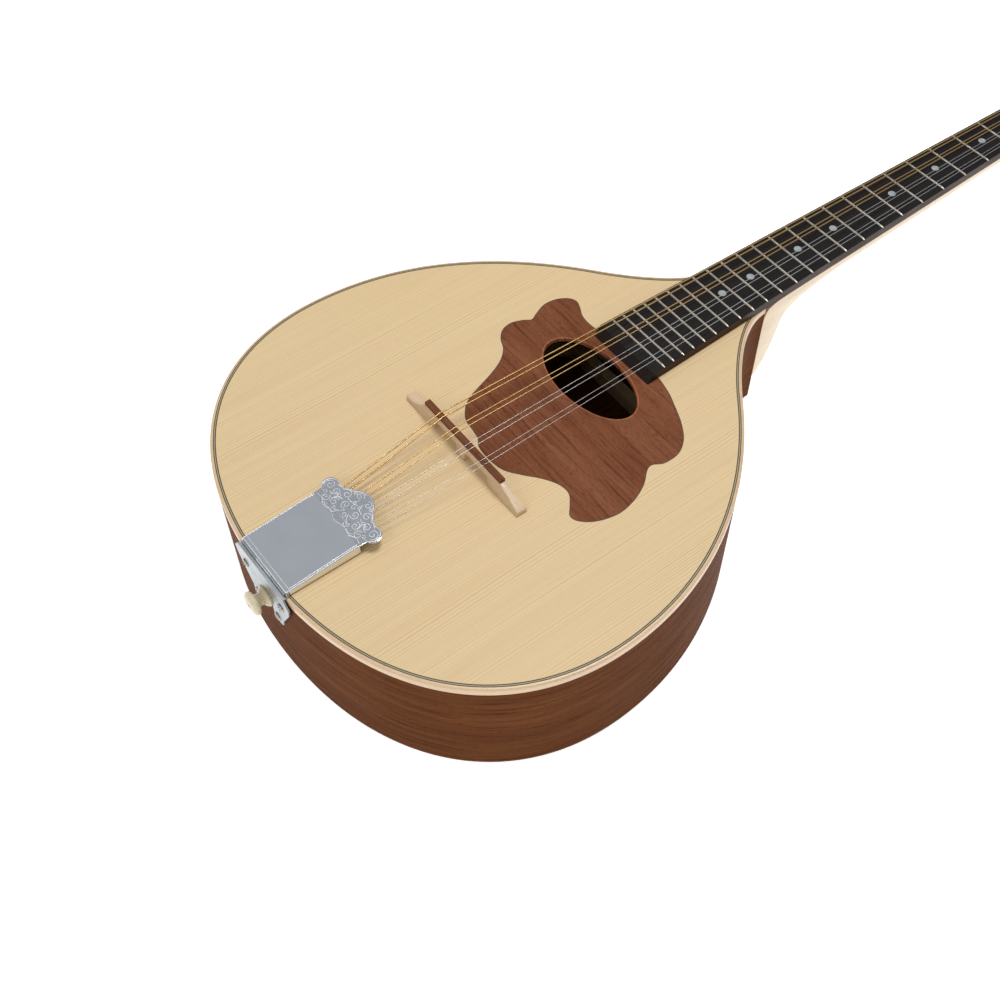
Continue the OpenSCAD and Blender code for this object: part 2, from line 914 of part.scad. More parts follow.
// ---- strings ------------------------------------------------------------
// string k counts 0 to 7 from the bass side
function s_r(k) = string_r[floor(k / 2)];
function s_bridge(k) = [course_x_bridge[floor(k / 2)] + (k % 2 - 0.5) * pair_bridge, bridge_y,
    T + bridge_height + s_r(k)];
function s_nut(k) = [course_x_nut[floor(k / 2)] + (k % 2 - 0.5) * pair_nut, nut_y + 1.4,
    T + board_thick + fret_h + 0.5 + s_r(k)];
function s_hook(k) = [(k - 3.5) * hook_pitch, hook_y, hook_z];
function s_side(k) = k < 4 ? -1 : 1;
function s_row(k) = k < 4 ? post_y[k] : post_y[7 - k];
function head_to_world(p) = [p[0], nut_y + nut_t + p[1] * cos(head_angle) + p[2] * sin(head_angle),
    face_z - p[1] * sin(head_angle) + p[2] * cos(head_angle)];
// a straight run between two bends; the bends themselves are small balls a little thicker than the wire
module run(a, b, r) {
    d = unit(b - a);
    rod(a + 0.05 * d, b - 0.05 * d, r);
}
module wire(k) {
    r = s_r(k);
    hk = s_hook(k);
    wr = post_r + r + 0.12;
    p0 = hk + [0, 1.12 + r, 0];
    p1 = s_bridge(k);
    p2 = s_nut(k);
    p3 = p2 + [0, nut_t - 1.4, -0.25];
    p4 = head_to_world([s_side(k) * (post_x - wr), s_row(k), wind_z]);
    union() {
        translate(hk)
            rotate_extrude($fn = 32)
                translate([1.12 + r, 0])
                    circle(r = r + 0.04, $fn = 12);
        rod(p0, p1 - 0.05 * unit(p1 - p0), r);
        for (p = [p1, p2, p3])
            translate(p)
                sphere(r = r + 0.05, $fn = 16);
        run(p1, p2, r);
        run(p2, p3, r);
        rod(p3 + 0.05 * unit(p4 - p3), p4, r);
        // three turns round the post
        on_head()
            translate([s_side(k) * post_x, s_row(k), wind_z])
                rotate_extrude($fn = 40)
                    polygon([[post_r + 0.06, r * 1.2], [wr + r * 0.7, r * 1.2], [wr + r * 1.2, 0],
                        [wr + r * 0.8, -r], [wr + r * 1.2, -2 * r], [wr + r * 0.8, -3 * r],
                        [wr + r * 1.2, -4 * r], [wr + r * 0.7, -r * 5.2], [post_r + 0.06, -r * 5.2]]);
    }
}
// flat-bottomed slots that the strings rest in
module slot_cuts(p, y0, y1, fall0, fall1, deep, half) {
    translate([p[0], p[1], p[2]])
        rotate([90, 0, 90])
            translate([0, 0, -half])
                linear_extrude(2 * half)
                    polygon([[y0, 5], [y0, -deep - fall0], [0, -deep], [y1, -deep - fall1], [y1, 5]]);
}
module saddle_slots() {
    for (k = [0 : 7])
        slot_cuts(s_bridge(k), -3, 3, 0.4, 0.04, s_r(k) + 0.07, s_r(k) + 0.3);
}
module nut_slots() {
    for (k = [0 : 7])
        slot_cuts(s_nut(k), -2, 4.2, -0.01, 0.35, s_r(k) + 0.07, s_r(k) + 0.14);
}
module course(n) {
    wire(2 * n);
    wire(2 * n + 1);
}
module strings_low_bass() {
    color("#b98b4a")
        course(0);
}
module strings_high_bass() {
    color("#c09455")
        course(1);
}
module strings_low_treble() {
    color("#c8cacc")
        course(2);
}
module strings_high_treble() {
    color("#d2d4d6")
        course(3);
}

soundboard();
rosette_plate();
purfling_black();
purfling_white();
binding();
side_bass();
side_treble();
back_plate();
back_strip();
end_blocks();
linings();
top_braces();
back_braces();
bridge_base();
bridge_saddle();
tailpiece_base();
tailpiece_cover();
tailpiece_hinge_pin();
end_pin();
neck();
headstock_face();
fingerboard();
frets();
position_dots();
nut();
truss_rod();
truss_rod_nut();
truss_rod_cover();
tuner_plates();
post_bushings();
wood_screws();
strings_low_bass();
strings_high_bass();
strings_low_treble();
strings_high_treble();
tuner_knob(-1, post_y[0]);  // tuner_knob_1
tuner_knob(-1, post_y[1]);  // tuner_knob_2
tuner_knob(-1, post_y[2]);  // tuner_knob_3
tuner_knob(-1, post_y[3]);  // tuner_knob_4
tuner_knob(1, post_y[3]);  // tuner_knob_5
tuner_knob(1, post_y[2]);  // tuner_knob_6
tuner_knob(1, post_y[1]);  // tuner_knob_7
tuner_knob(1, post_y[0]);  // tuner_knob_8
tuner_worm(-1, post_y[0]);  // tuner_worm_1
tuner_worm(-1, post_y[1]);  // tuner_worm_2
tuner_worm(-1, post_y[2]);  // tuner_worm_3
tuner_worm(-1, post_y[3]);  // tuner_worm_4
tuner_worm(1, post_y[3]);  // tuner_worm_5
tuner_worm(1, post_y[2]);  // tuner_worm_6
tuner_worm(1, post_y[1]);  // tuner_worm_7
tuner_worm(1, post_y[0]);  // tuner_worm_8
tuner_post(-1, post_y[0]);  // tuner_post_1
tuner_post(-1, post_y[1]);  // tuner_post_2
tuner_post(-1, post_y[2]);  // tuner_post_3
tuner_post(-1, post_y[3]);  // tuner_post_4
tuner_post(1, post_y[3]);  // tuner_post_5
tuner_post(1, post_y[2]);  // tuner_post_6
tuner_post(1, post_y[1]);  // tuner_post_7
tuner_post(1, post_y[0]);  // tuner_post_8
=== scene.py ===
import bpy
import bmesh
import math
import numpy as np
from mathutils import Matrix, Vector


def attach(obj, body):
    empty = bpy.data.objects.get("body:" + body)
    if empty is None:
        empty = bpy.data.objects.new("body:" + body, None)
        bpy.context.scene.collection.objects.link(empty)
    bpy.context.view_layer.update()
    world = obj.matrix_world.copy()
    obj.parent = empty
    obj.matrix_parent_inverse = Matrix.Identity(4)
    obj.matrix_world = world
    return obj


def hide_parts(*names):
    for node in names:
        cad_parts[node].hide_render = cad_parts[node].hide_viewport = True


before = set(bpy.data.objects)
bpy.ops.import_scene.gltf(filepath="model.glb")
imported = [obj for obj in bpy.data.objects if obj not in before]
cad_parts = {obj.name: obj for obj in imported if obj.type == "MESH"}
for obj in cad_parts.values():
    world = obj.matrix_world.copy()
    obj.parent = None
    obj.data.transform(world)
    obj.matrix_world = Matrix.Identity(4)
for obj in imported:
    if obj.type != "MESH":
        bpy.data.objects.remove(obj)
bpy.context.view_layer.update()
scene = bpy.context.scene
mm = 0.001
deck = 102.0  # the top's face over the back's face, mm
print("frame loaded:", len(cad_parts), "nodes")


# ---- camera, light and floor ----
studio = {
    "cameraAt": (0.4699, -0.3160, 0.8255),
    "right": (0.6188, 0.7853, 0.0209),
    "up": (-0.6355, 0.4848, 0.6010),
    "lens": 47.72,
    "shift": (-0.0502, -0.0251),
    "skyColour": (0.93, 0.96, 1.0),
    "skyStrength": 0.44,
    "keyPower": 21.5,
    "keySize": 0.7,
    "keyAt": (-0.06, 0.42, 2.05),
    "fillPower": 5.5,
    "fillSize": 1.2,
    "fillAt": (0.35, -1.5, 1.3),
    "lampsAim": (0, 0.05, 0.1),
    "floorColour": (0.93, 0.93, 0.93),
    "floorGlow": 0.70,
    "floorHalf": 6000,
    "floorZ": -0.4,
}


def buildStudio(s):
    right = Vector(s["right"]).normalized()
    up = Vector(s["up"])
    up = (up - right * up.dot(right)).normalized()
    back = right.cross(up)
    eye = bpy.data.cameras.new("viewCamera")
    eye.lens = s["lens"]
    eye.sensor_width = 36
    eye.shift_x, eye.shift_y = s["shift"]
    eye.clip_start, eye.clip_end = 0.02, 60
    holder = bpy.data.objects.new("viewCamera", eye)
    scene.collection.objects.link(holder)
    holder.matrix_world = Matrix((
        (right.x, up.x, back.x, s["cameraAt"][0]),
        (right.y, up.y, back.y, s["cameraAt"][1]),
        (right.z, up.z, back.z, s["cameraAt"][2]),
        (0, 0, 0, 1)))
    scene.camera = holder

    for name in ("key", "fill"):
        lamp = bpy.data.lights.new(name + "Softbox", "AREA")
        lamp.shape = "DISK"
        lamp.size = s[name + "Size"]
        lamp.energy = s[name + "Power"]
        stand = bpy.data.objects.new(name + "Softbox", lamp)
        scene.collection.objects.link(stand)
        stand.location = s[name + "At"]
        stand.rotation_mode = "QUATERNION"
        aim = Vector(s["lampsAim"]) - Vector(s[name + "At"])
        stand.rotation_quaternion = aim.to_track_quat("-Z", "Y")

    sky = bpy.data.worlds.new("softStudio")
    scene.world = sky
    sky.use_nodes = True
    air = sky.node_tree.nodes["Background"]
    air.inputs[0].default_value = (*s["skyColour"], 1)
    air.inputs[1].default_value = s["skyStrength"]
    scene.view_settings.view_transform = "Standard"


# ---- shader workbench ----
class Strand:
    # a shader socket that ordinary sums can use: each sum adds its own node
    def __init__(self, bench, socket):
        self.bench, self.socket = bench, socket

    def join(self, how, first, second=0.0):
        return self.bench.node("ShaderNodeMath", {"operation": how}, {0: first, 1: second})

    def __add__(self, other):
        return self.join("ADD", self, other)

    def __sub__(self, other):
        return self.join("SUBTRACT", self, other)

    def __rsub__(self, other):
        return self.join("SUBTRACT", other, self)

    def __mul__(self, other):
        return self.join("MULTIPLY", self, other)

    def __truediv__(self, other):
        return self.join("DIVIDE", self, other)

    def __pow__(self, other):
        return self.join("POWER", self, other)

    def __abs__(self):
        return self.join("ABSOLUTE", self)

    def __mod__(self, other):
        return self.join("FLOORED_MODULO", self, other)


class Bench:
    # one finish being mixed, with the few nodes that wood and metal need
    def __init__(self, name, rough=0.4, metal=0.0, coat=0.0, coatRough=0.1, specular=0.5):
        self.finish = bpy.data.materials.new(name)
        self.finish.use_nodes = True
        self.tree = self.finish.node_tree
        self.tree.nodes.clear()
        self.surface = self.tree.nodes.new("ShaderNodeBsdfPrincipled")
        end = self.tree.nodes.new("ShaderNodeOutputMaterial")
        self.tree.links.new(self.surface.outputs[0], end.inputs[0])
        for socket, value in (("Roughness", rough), ("Metallic", metal), ("Coat Weight", coat),
                              ("Coat Roughness", coatRough), ("Specular IOR Level", specular)):
            self.surface.inputs[socket].default_value = value

    def plug(self, socket, value):
        if isinstance(value, Strand):
            self.tree.links.new(value.socket, socket)
        else:
            socket.default_value = value

    def node(self, kind, settings=None, values=None, give=0):
        made = self.tree.nodes.new(kind)
        for key, value in (settings or {}).items():
            if key == "stops":
                ramp = made.color_ramp
                while len(ramp.elements) < len(value):
                    ramp.elements.new(0.5)
                for spot, (at, colour) in zip(ramp.elements, value):
                    spot.position, spot.color = at, (*colour, 1)
            else:
                setattr(made, key, value)
        for key, value in (values or {}).items():
            self.plug(made.inputs[key], value)
        return Strand(self, made.outputs[give])

    def place(self):
        return self.node("ShaderNodeTexCoord", give="Object")

    def ownMap(self, name):
        return self.node("ShaderNodeUVMap", {"uv_map": name})

    def parts(self, vector):
        split = self.node("ShaderNodeSeparateXYZ", None, {0: vector})
        return [Strand(self, out) for out in split.socket.node.outputs]

    def gather(self, x, y, z=0.0):
        return self.node("ShaderNodeCombineXYZ", None, {0: x, 1: y, 2: z})

    def noise(self, vector, scale=1.0, detail=2.0, rough=0.5):
        return self.node("ShaderNodeTexNoise", {"noise_dimensions": "3D"},
                         {"Vector": vector, "Scale": scale, "Detail": detail, "Roughness": rough})

    def span(self, value, low, high, start=0.0, end=1.0):
        return self.node("ShaderNodeMapRange", {"clamp": True},
                         {0: value, 1: low, 2: high, 3: start, 4: end})

    def ramp(self, value, stops):
        return self.node("ShaderNodeValToRGB", {"stops": stops}, {0: value})

    def tint(self, share, first, second, how="MIX"):
        first = (*first, 1) if isinstance(first, tuple) else first
        second = (*second, 1) if isinstance(second, tuple) else second
        return self.node("ShaderNodeMix", {"data_type": "RGBA", "blend_type": how},
                         {0: share, 6: first, 7: second}, 2)

    def bump(self, height, strength, depth):
        made = self.node("ShaderNodeBump", None,
                         {"Height": height, "Strength": strength, "Distance": depth})
        self.tree.links.new(made.socket, self.surface.inputs["Normal"])

    def done(self, colour=None, rough=None):
        if colour is not None:
            self.plug(self.surface.inputs["Base Color"], colour)
        if rough is not None:
            self.plug(self.surface.inputs["Roughness"], rough)
        return self.finish


# ---- finishes ----
def toned(colour, share):
    # a lighter or darker version; share is one number or one for each of red, green and blue
    shares = share if isinstance(share, tuple) else (share,) * 3
    return tuple(min(c * k, 1.0) for c, k in zip(colour, shares))


spruce = {"early": (0.780, 0.590, 0.345), "late": (0.520, 0.330, 0.150), "ringWidth": 0.0019, "rough": 0.46,
          "silk": 1.16, "cloud": (0.93, 0.88, 0.78)}


def mixSpruce(name, s, tone=1.0):
    b = Bench(name, rough=s["rough"], specular=0.18)
    x, y, z = b.parts(b.place())
    side = abs(x)  # bookmatched halves
    drift = b.noise(b.gather(side * 9, y * 2.2, z), 1.0, 2.0)
    run = side / s["ringWidth"] + drift * 4.0 + b.noise(b.gather(side * 60, y * 0.6), 1.0, 1.0) * 6.0
    ring = (run % 1.0) ** 3.0
    fine = ((run * 2.37) % 1.0) ** 2.0
    strength = b.noise(b.gather(side * 230, y * 5), 1.0, 2.0)
    silk = b.noise(b.gather(x * 150, y * 1900, z * 300), 1.0, 2.0)
    cloud = b.noise(b.gather(x * 7, y * 3, z), 1.0, 3.0)
    dark = ring * b.span(strength, 0.3, 0.7, 0.22, 0.80) + fine * 0.22
    early = toned(s["early"], tone)
    colour = b.tint(dark, early, toned(s["late"], tone))
    colour = b.tint(b.span(silk, 0.52, 0.8, 0.0, 0.22), colour, toned(early, s["silk"]))
    colour = b.tint(b.span(cloud, 0.3, 0.75, 0.0, 0.20), colour, toned(early, s["cloud"]))
    b.bump(dark * 0.8 + silk * 0.3, 0.10, 0.00012)
    return b.done(colour, b.span(silk, 0.2, 0.8, s["rough"] - 0.07, s["rough"] + 0.08))


walnut = {"mid": (0.186, 0.058, 0.024), "dark": (0.066, 0.018, 0.007), "pale": (0.245, 0.088, 0.040),
          "rough": 0.52}
# a darker copy of the walnut for the sides and the back: painted shade
shadedWalnut = {"mid": (0.112, 0.033, 0.0080), "dark": (0.044, 0.012, 0.0035), "pale": (0.160, 0.053, 0.0150),
            "rough": 0.58}


def mixWalnut(name, w, alongAxis="x", mapName=None, tone=1.0, specular=0.10):
    b = Bench(name, rough=w["rough"], specular=specular)
    x, y, z = b.parts(b.ownMap(mapName) if mapName else b.place())
    along, across = (x, y) if alongAxis == "x" else (y, abs(x))
    bend = b.noise(b.gather(along * 9, across * 14, z), 1.0, 2.0)
    level = across + (bend - 0.5) * 0.010
    broad = b.noise(b.gather(along * 7, level * 90, z * 20), 1.0, 3.0, 0.55)
    streak = b.noise(b.gather(along * 16, level * 420, z * 60), 1.0, 3.0, 0.6)
    pore = b.noise(b.gather(along * 210, across * 2300, z * 900), 1.0, 1.0)
    curl = b.noise(b.gather(along * 60, across * 22, z * 20), 1.0, 2.0)
    fleck = b.noise(b.gather(along * 420, across * 1400, z * 700), 1.0, 2.0)
    mid, dark, pale = (toned(w[shade], tone) for shade in ("mid", "dark", "pale"))
    colour = b.tint(b.span(broad, 0.32, 0.68), mid, pale)
    colour = b.tint(b.span(streak, 0.50, 0.72, 0.0, 0.75), colour, dark)
    colour = b.tint(b.span(curl, 0.35, 0.75, 0.0, 0.16), colour, pale)
    colour = b.tint(b.span(fleck, 0.45, 0.75, 0.0, 0.22), colour, dark)
    holes = b.span(pore, 0.60, 0.70)
    colour = b.tint(holes * 0.62, colour, toned(dark, 0.45))
    b.bump(0.4 - holes * 0.5 + streak * 0.25 + fleck * 0.2, 0.22, 0.00018)
    return b.done(colour, b.span(streak, 0.3, 0.7, w["rough"] - 0.08, w["rough"] + 0.10))


maple = {"pale": (0.760, 0.555, 0.345), "warm": (0.600, 0.395, 0.220), "rough": 0.33}


def mixMaple(name, m, alongAxis="y", mapName=None, tone=(1.0, 1.0, 1.0), coat=0.25):
    b = Bench(name, rough=m["rough"], coat=coat, coatRough=0.22, specular=0.4)
    x, y, z = b.parts(b.ownMap(mapName) if mapName else b.place())
    along, across, rise = {"x": (x, y, z), "y": (y, x, z), "z": (z, x, y)}[alongAxis]
    broad = b.noise(b.gather(along * 5, across * 60, rise * 60), 1.0, 3.0)
    line = b.noise(b.gather(along * 14, across * 520, rise * 520), 1.0, 2.0)
    curl = b.noise(b.gather(along * 130, across * 26, rise * 26), 1.0, 2.0)
    fleck = b.noise(b.gather(along * 260, across * 1500, rise * 1500), 1.0, 1.0)
    pale, warm = toned(m["pale"], tone), toned(m["warm"], tone)
    colour = b.tint(b.span(broad, 0.3, 0.75, 0.0, 0.55), pale, warm)
    colour = b.tint(b.span(line, 0.48, 0.72, 0.0, 0.35), colour, toned(warm, 0.82))
    colour = b.tint(b.span(curl, 0.45, 0.75, 0.0, 0.22), colour, toned(pale, 1.15))
    colour = b.tint(b.span(fleck, 0.62, 0.74, 0.0, 0.45), colour, toned(warm, 0.62))
    b.bump(line * 0.4 + fleck * 0.3, 0.08, 0.0001)
    return b.done(colour, b.span(curl, 0.3, 0.7, m["rough"] - 0.06, m["rough"] + 0.08))


def mixBoard(name):
    # blackened board: the face is near black, its long edges stay brown
    b = Bench(name, rough=0.5, specular=0.12)
    x, y, z = b.parts(b.place())
    line = b.noise(b.gather(x * 900, y * 14, z * 900), 1.0, 3.0, 0.6)
    pore = b.noise(b.gather(x * 2600, y * 180, z * 2600), 1.0, 1.0)
    worn = b.noise(b.gather(x * 60, y * 25, z), 1.0, 3.0)
    face = b.tint(b.span(line, 0.35, 0.75), (0.009, 0.0075, 0.0075), (0.024, 0.019, 0.018))
    edge = b.tint(b.span(line, 0.35, 0.75), (0.030, 0.011, 0.006), (0.060, 0.024, 0.012))
    height = b.span(z, (deck + 6.8) * mm, (deck + 7.4) * mm)
    # the board's end face is darkened to near black: painted shade
    shadedEndFace = b.span(y, 0.1475, 0.1490, 1.0, 0.0)
    colour = b.tint(height + shadedEndFace * 0.85, edge, face)
    b.bump(line * 0.4 - b.span(pore, 0.58, 0.68) * 0.6, 0.18, 0.00012)
    return b.done(colour, b.span(worn, 0.3, 0.7, 0.33, 0.50))


def mixMetal(name, colour, rough, lines=(40, 900, 900), scratch=0.05, chased=0.0):
    b = Bench(name, rough=rough, metal=1.0)
    p = b.place()
    x, y, z = b.parts(p)
    hair = b.noise(b.gather(x * lines[0], y * lines[1], z * lines[2]), 1.0, 2.0)
    haze = b.noise(p, 55.0, 3.0)
    tone = b.tint(b.span(haze, 0.3, 0.75, 0.0, 0.5), colour, toned(colour, 0.88))
    height = hair
    if chased:
        cell = b.node("ShaderNodeTexVoronoi", {"feature": "F1"}, {"Vector": p, "Scale": 900.0})
        height = hair * 0.3 + cell * 1.6
        # the chasing's punch pits are darkened in colour: painted shade in the hollows
        tone = b.tint(b.span(cell, 0.05, 0.5, 0.55, 0.0), tone, toned(colour, 0.42))
    b.bump(height, max(scratch, chased), 0.00012 if chased else 0.00003)
    return b.done(tone, b.span(haze, 0.25, 0.75, rough * 0.75, rough * 1.5))


def mixBronze(name, colour, pitch):
    # wound string: fine turns across the core
    b = Bench(name, rough=0.36, metal=1.0)
    x, y, z = b.parts(b.place())
    turn = abs((y / pitch) % 1.0 - 0.5) * 2
    worn = b.noise(b.gather(x * 120, y * 160, z * 120), 1.0, 2.0)
    tone = b.tint(b.span(worn, 0.3, 0.7, 0.0, 0.5), colour, toned(colour, 0.72))
    # darker in the grooves between the turns: painted shade
    tone = b.tint(turn ** 3.0 * 0.3, tone, toned(colour, 0.35))
    b.bump(1 - turn ** 2.0, 0.12, 0.00004)
    return b.done(tone, b.span(worn, 0.2, 0.8, 0.30, 0.42))


def mixPlastic(name, pale, deep, rough=0.3, cloud=90.0, coat=0.2):
    b = Bench(name, rough=rough, coat=coat, coatRough=0.12)
    p = b.place()
    swirl = b.noise(p, cloud, 4.0, 0.6)
    speck = b.noise(p, cloud * 18, 2.0)
    colour = b.tint(b.span(swirl, 0.3, 0.7), pale, deep)
    colour = b.tint(b.span(speck, 0.60, 0.72, 0.0, 0.35), colour, toned(deep, 0.7))
    b.bump(speck * 0.4 + swirl * 0.3, 0.06, 0.0001)
    return b.done(colour, b.span(swirl, 0.2, 0.8, rough - 0.08, rough + 0.10))


pearl = {"bands": [(0.30, (0.20, 0.22, 0.24)), (0.45, (0.34, 0.37, 0.40)), (0.58, (0.45, 0.46, 0.47)),
                   (0.72, (0.28, 0.31, 0.34))],
         "sheen": (0.38, 0.43, 0.42)}


def mixPearl(name, p):
    b = Bench(name, rough=0.22, coat=0.5, coatRough=0.08)
    spot = b.place()
    wave = b.noise(spot, 420.0, 4.0, 0.62)
    sheen = b.noise(spot, 160.0, 2.0)
    colour = b.ramp(wave, p["bands"])
    colour = b.tint(b.span(sheen, 0.35, 0.7, 0.0, 0.4), colour, p["sheen"])
    b.bump(wave, 0.1, 0.0001)
    return b.done(colour, b.span(sheen, 0.3, 0.7, 0.16, 0.32))


spruceTop = mixSpruce("spruceTop", spruce)
# a darker copy of the spruce for the parts inside the body: painted shade
spruceInsideShaded = mixSpruce("spruceInsideShaded", spruce, 0.72)
walnutPlate = mixWalnut("walnutPlate", walnut, specular=0.07)
walnutSide = mixWalnut("walnutSide", shadedWalnut, mapName="grain", specular=0.02)
walnutBack = mixWalnut("walnutBack", shadedWalnut, alongAxis="y", tone=1.15, specular=0.06)
walnutStrip = mixWalnut("walnutStrip", walnut, tone=0.82)
blackLine = mixPlastic("blackLine", (0.040, 0.034, 0.018), (0.070, 0.058, 0.032), 0.6, 300.0, 0.0)
whiteLine = mixPlastic("whiteLine", (0.46, 0.38, 0.22), (0.36, 0.29, 0.17), 0.55, 300.0, 0.0)
mapleEdge = mixMaple("mapleEdge", maple, "x", "grain", (0.98, 0.96, 0.95))
# a lighter, paler copy of the maple for the neck: painted light, as if washed out by strong light
mapleNeckLit = mixMaple("mapleNeckLit", maple, "y", None, (1.08, 1.18, 1.30))
mapleBridge = mixMaple("mapleBridge", maple, "x", None, (0.96, 0.99, 1.05), 0.0)
blackBoard = mixBoard("blackBoard")
nickelCover = mixMetal("nickelCover", (0.84, 0.87, 0.905), 0.045, (900, 30, 900), 0.0)
nickelChased = mixMetal("nickelChased", (0.74, 0.77, 0.81), 0.15, (400, 400, 400), 0.05, 0.10)
nickelPlate = mixMetal("nickelPlate", (0.62, 0.66, 0.70), 0.30, (40, 900, 900), 0.05)
nickelBright = mixMetal("nickelBright", (0.76, 0.77, 0.79), 0.42, (90, 90, 90), 0.02)
# a darker copy of the nickel for the tailpiece flange: painted shade, dimming its reflection
nickelFlangeDimmed = mixMetal("nickelFlangeDimmed", (0.40, 0.43, 0.44), 0.36, (40, 900, 900), 0.05)
screwDark = mixMetal("screwDark", (0.36, 0.34, 0.32), 0.22, (500, 500, 500), 0.05)
fretMetal = mixMetal("fretMetal", (0.60, 0.55, 0.47), 0.34, (30, 900, 900), 0.02)
steelPlain = mixMetal("steelPlain", (0.60, 0.59, 0.57), 0.34, (60, 60, 60), 0.0)
screwSteel = mixMetal("screwSteel", (0.60, 0.60, 0.61), 0.24, (600, 600, 600), 0.12)
brassSoft = mixMetal("brassSoft", (0.72, 0.52, 0.24), 0.30, (500, 60, 500), 0.12)
bronzeLow = mixBronze("bronzeLow", (0.66, 0.42, 0.16), 0.00034)
bronzeHigh = mixBronze("bronzeHigh", (0.70, 0.46, 0.19), 0.00028)
creamPin = mixPlastic("creamPin", (0.70, 0.60, 0.40), (0.62, 0.50, 0.31), 0.34)
boneNut = mixPlastic("boneNut", (0.76, 0.70, 0.56), (0.66, 0.58, 0.42), 0.34, 160.0)
knobIvory = mixPlastic("knobIvory", (0.74, 0.66, 0.48), (0.62, 0.52, 0.34), 0.22, 110.0, 0.5)
blackCover = mixPlastic("blackCover", (0.012, 0.012, 0.013), (0.03, 0.028, 0.027), 0.18, 60.0, 0.5)
pearlDot = mixPearl("pearlDot", pearl)
print("finishes mixed")


# ---- making meshes ----
def faceOutward(mesh, weld=0.0):
    # turns every closed shell's faces outward, after joining points closer than weld
    work = bmesh.new()
    work.from_mesh(mesh)
    if weld:
        bmesh.ops.remove_doubles(work, verts=work.verts, dist=weld)
    bmesh.ops.recalc_face_normals(work, faces=work.faces)
    work.to_mesh(mesh)
    work.free()


def newPiece(name, points, faces, finish, smoothAngle=35, uv=None):
    mesh = bpy.data.meshes.new(name)
    mesh.from_pydata([(p[0] * mm, p[1] * mm, p[2] * mm) for p in points], [], faces)
    mesh.update()
    faceOutward(mesh)
    if uv is not None:
        layer = mesh.uv_layers.new(name="grain")
        owner = np.zeros(len(mesh.loops), np.int32)
        mesh.loops.foreach_get("vertex_index", owner)
        layer.data.foreach_set("uv", np.asarray(uv, np.float32)[owner].ravel())
    mesh.materials.append(finish)
    obj = bpy.data.objects.new(name, mesh)
    scene.collection.objects.link(obj)
    smoothPiece(obj, smoothAngle)
    return obj


def smoothPiece(obj, angle=35):
    obj.data.shade_smooth()
    obj.data.set_sharp_from_angle(angle=math.radians(angle))


def settle(obj, angle=None):
    # the live result becomes the piece's own plain mesh
    bpy.context.view_layer.update()
    graph = bpy.context.evaluated_depsgraph_get()
    mesh = bpy.data.meshes.new_from_object(obj.evaluated_get(graph))
    mesh.name = obj.name
    if obj.type == "MESH":
        obj.modifiers.clear()
        obj.data = mesh
        made = obj
    else:
        name = obj.name
        bpy.data.objects.remove(obj)
        made = bpy.data.objects.new(name, mesh)
        scene.collection.objects.link(made)
    if angle is not None:
        smoothPiece(made, angle)
    return made


def bevelled(obj, width, segments=2, limit=40, angle=35):
    soft = obj.modifiers.new("softEdge", "BEVEL")
    soft.width = width * mm
    soft.segments = segments
    soft.limit_method = "ANGLE"
    soft.angle_limit = math.radians(limit)
    soft.miter_outer = "MITER_ARC"
    return settle(obj, angle)


def mount(obj, slot, nodes=(), body="instrument"):
    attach(obj, body)
    if nodes:
        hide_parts(*nodes)
    return obj


def ringFaces(levels, count, first=0, joined=False):
    # quads between neighbouring rings of count points; joined carries the last ring back to the first
    faces = []
    for k in range(levels if joined else levels - 1):
        low, high = first + k * count, first + (k + 1) % levels * count
        faces += [(low + i, low + (i + 1) % count, high + (i + 1) % count, high + i) for i in range(count)]
    return faces


def shellFaces(levels, count, first=0):
    # the rings with a lid on each end
    last = first + (levels - 1) * count
    lids = [tuple(range(first, first + count))[::-1], tuple(range(last, last + count))]
    return ringFaces(levels, count, first) + lids


def flatPiece(name, outlines, low, high, finish, edge=0.0, place=None):
    # a sheet cut to closed outlines, the later ones being holes
    sheet = bpy.data.curves.new(name, "CURVE")
    sheet.dimensions = "2D"
    sheet.fill_mode = "BOTH"
    for outline in outlines:
        line = sheet.splines.new("POLY")
        line.points.add(len(outline) - 1)
        line.points.foreach_set("co", [c for p in outline for c in (p[0] * mm, p[1] * mm, 0, 1)])
        line.use_cyclic_u = True
    sheet.extrude = ((high - low) / 2 - edge) * mm
    sheet.bevel_depth = edge * mm
    sheet.bevel_resolution = 2
    sheet.offset = -edge * mm
    obj = bpy.data.objects.new(name, sheet)
    scene.collection.objects.link(obj)
    made = settle(obj)
    made.data.transform(Matrix.Translation((0, 0, (high + low) / 2 * mm)))
    if place is not None:
        made.data.transform(place)
    faceOutward(made.data, weld=1e-6)
    made.data.materials.clear()
    made.data.materials.append(finish)
    smoothPiece(made, 40)
    return made


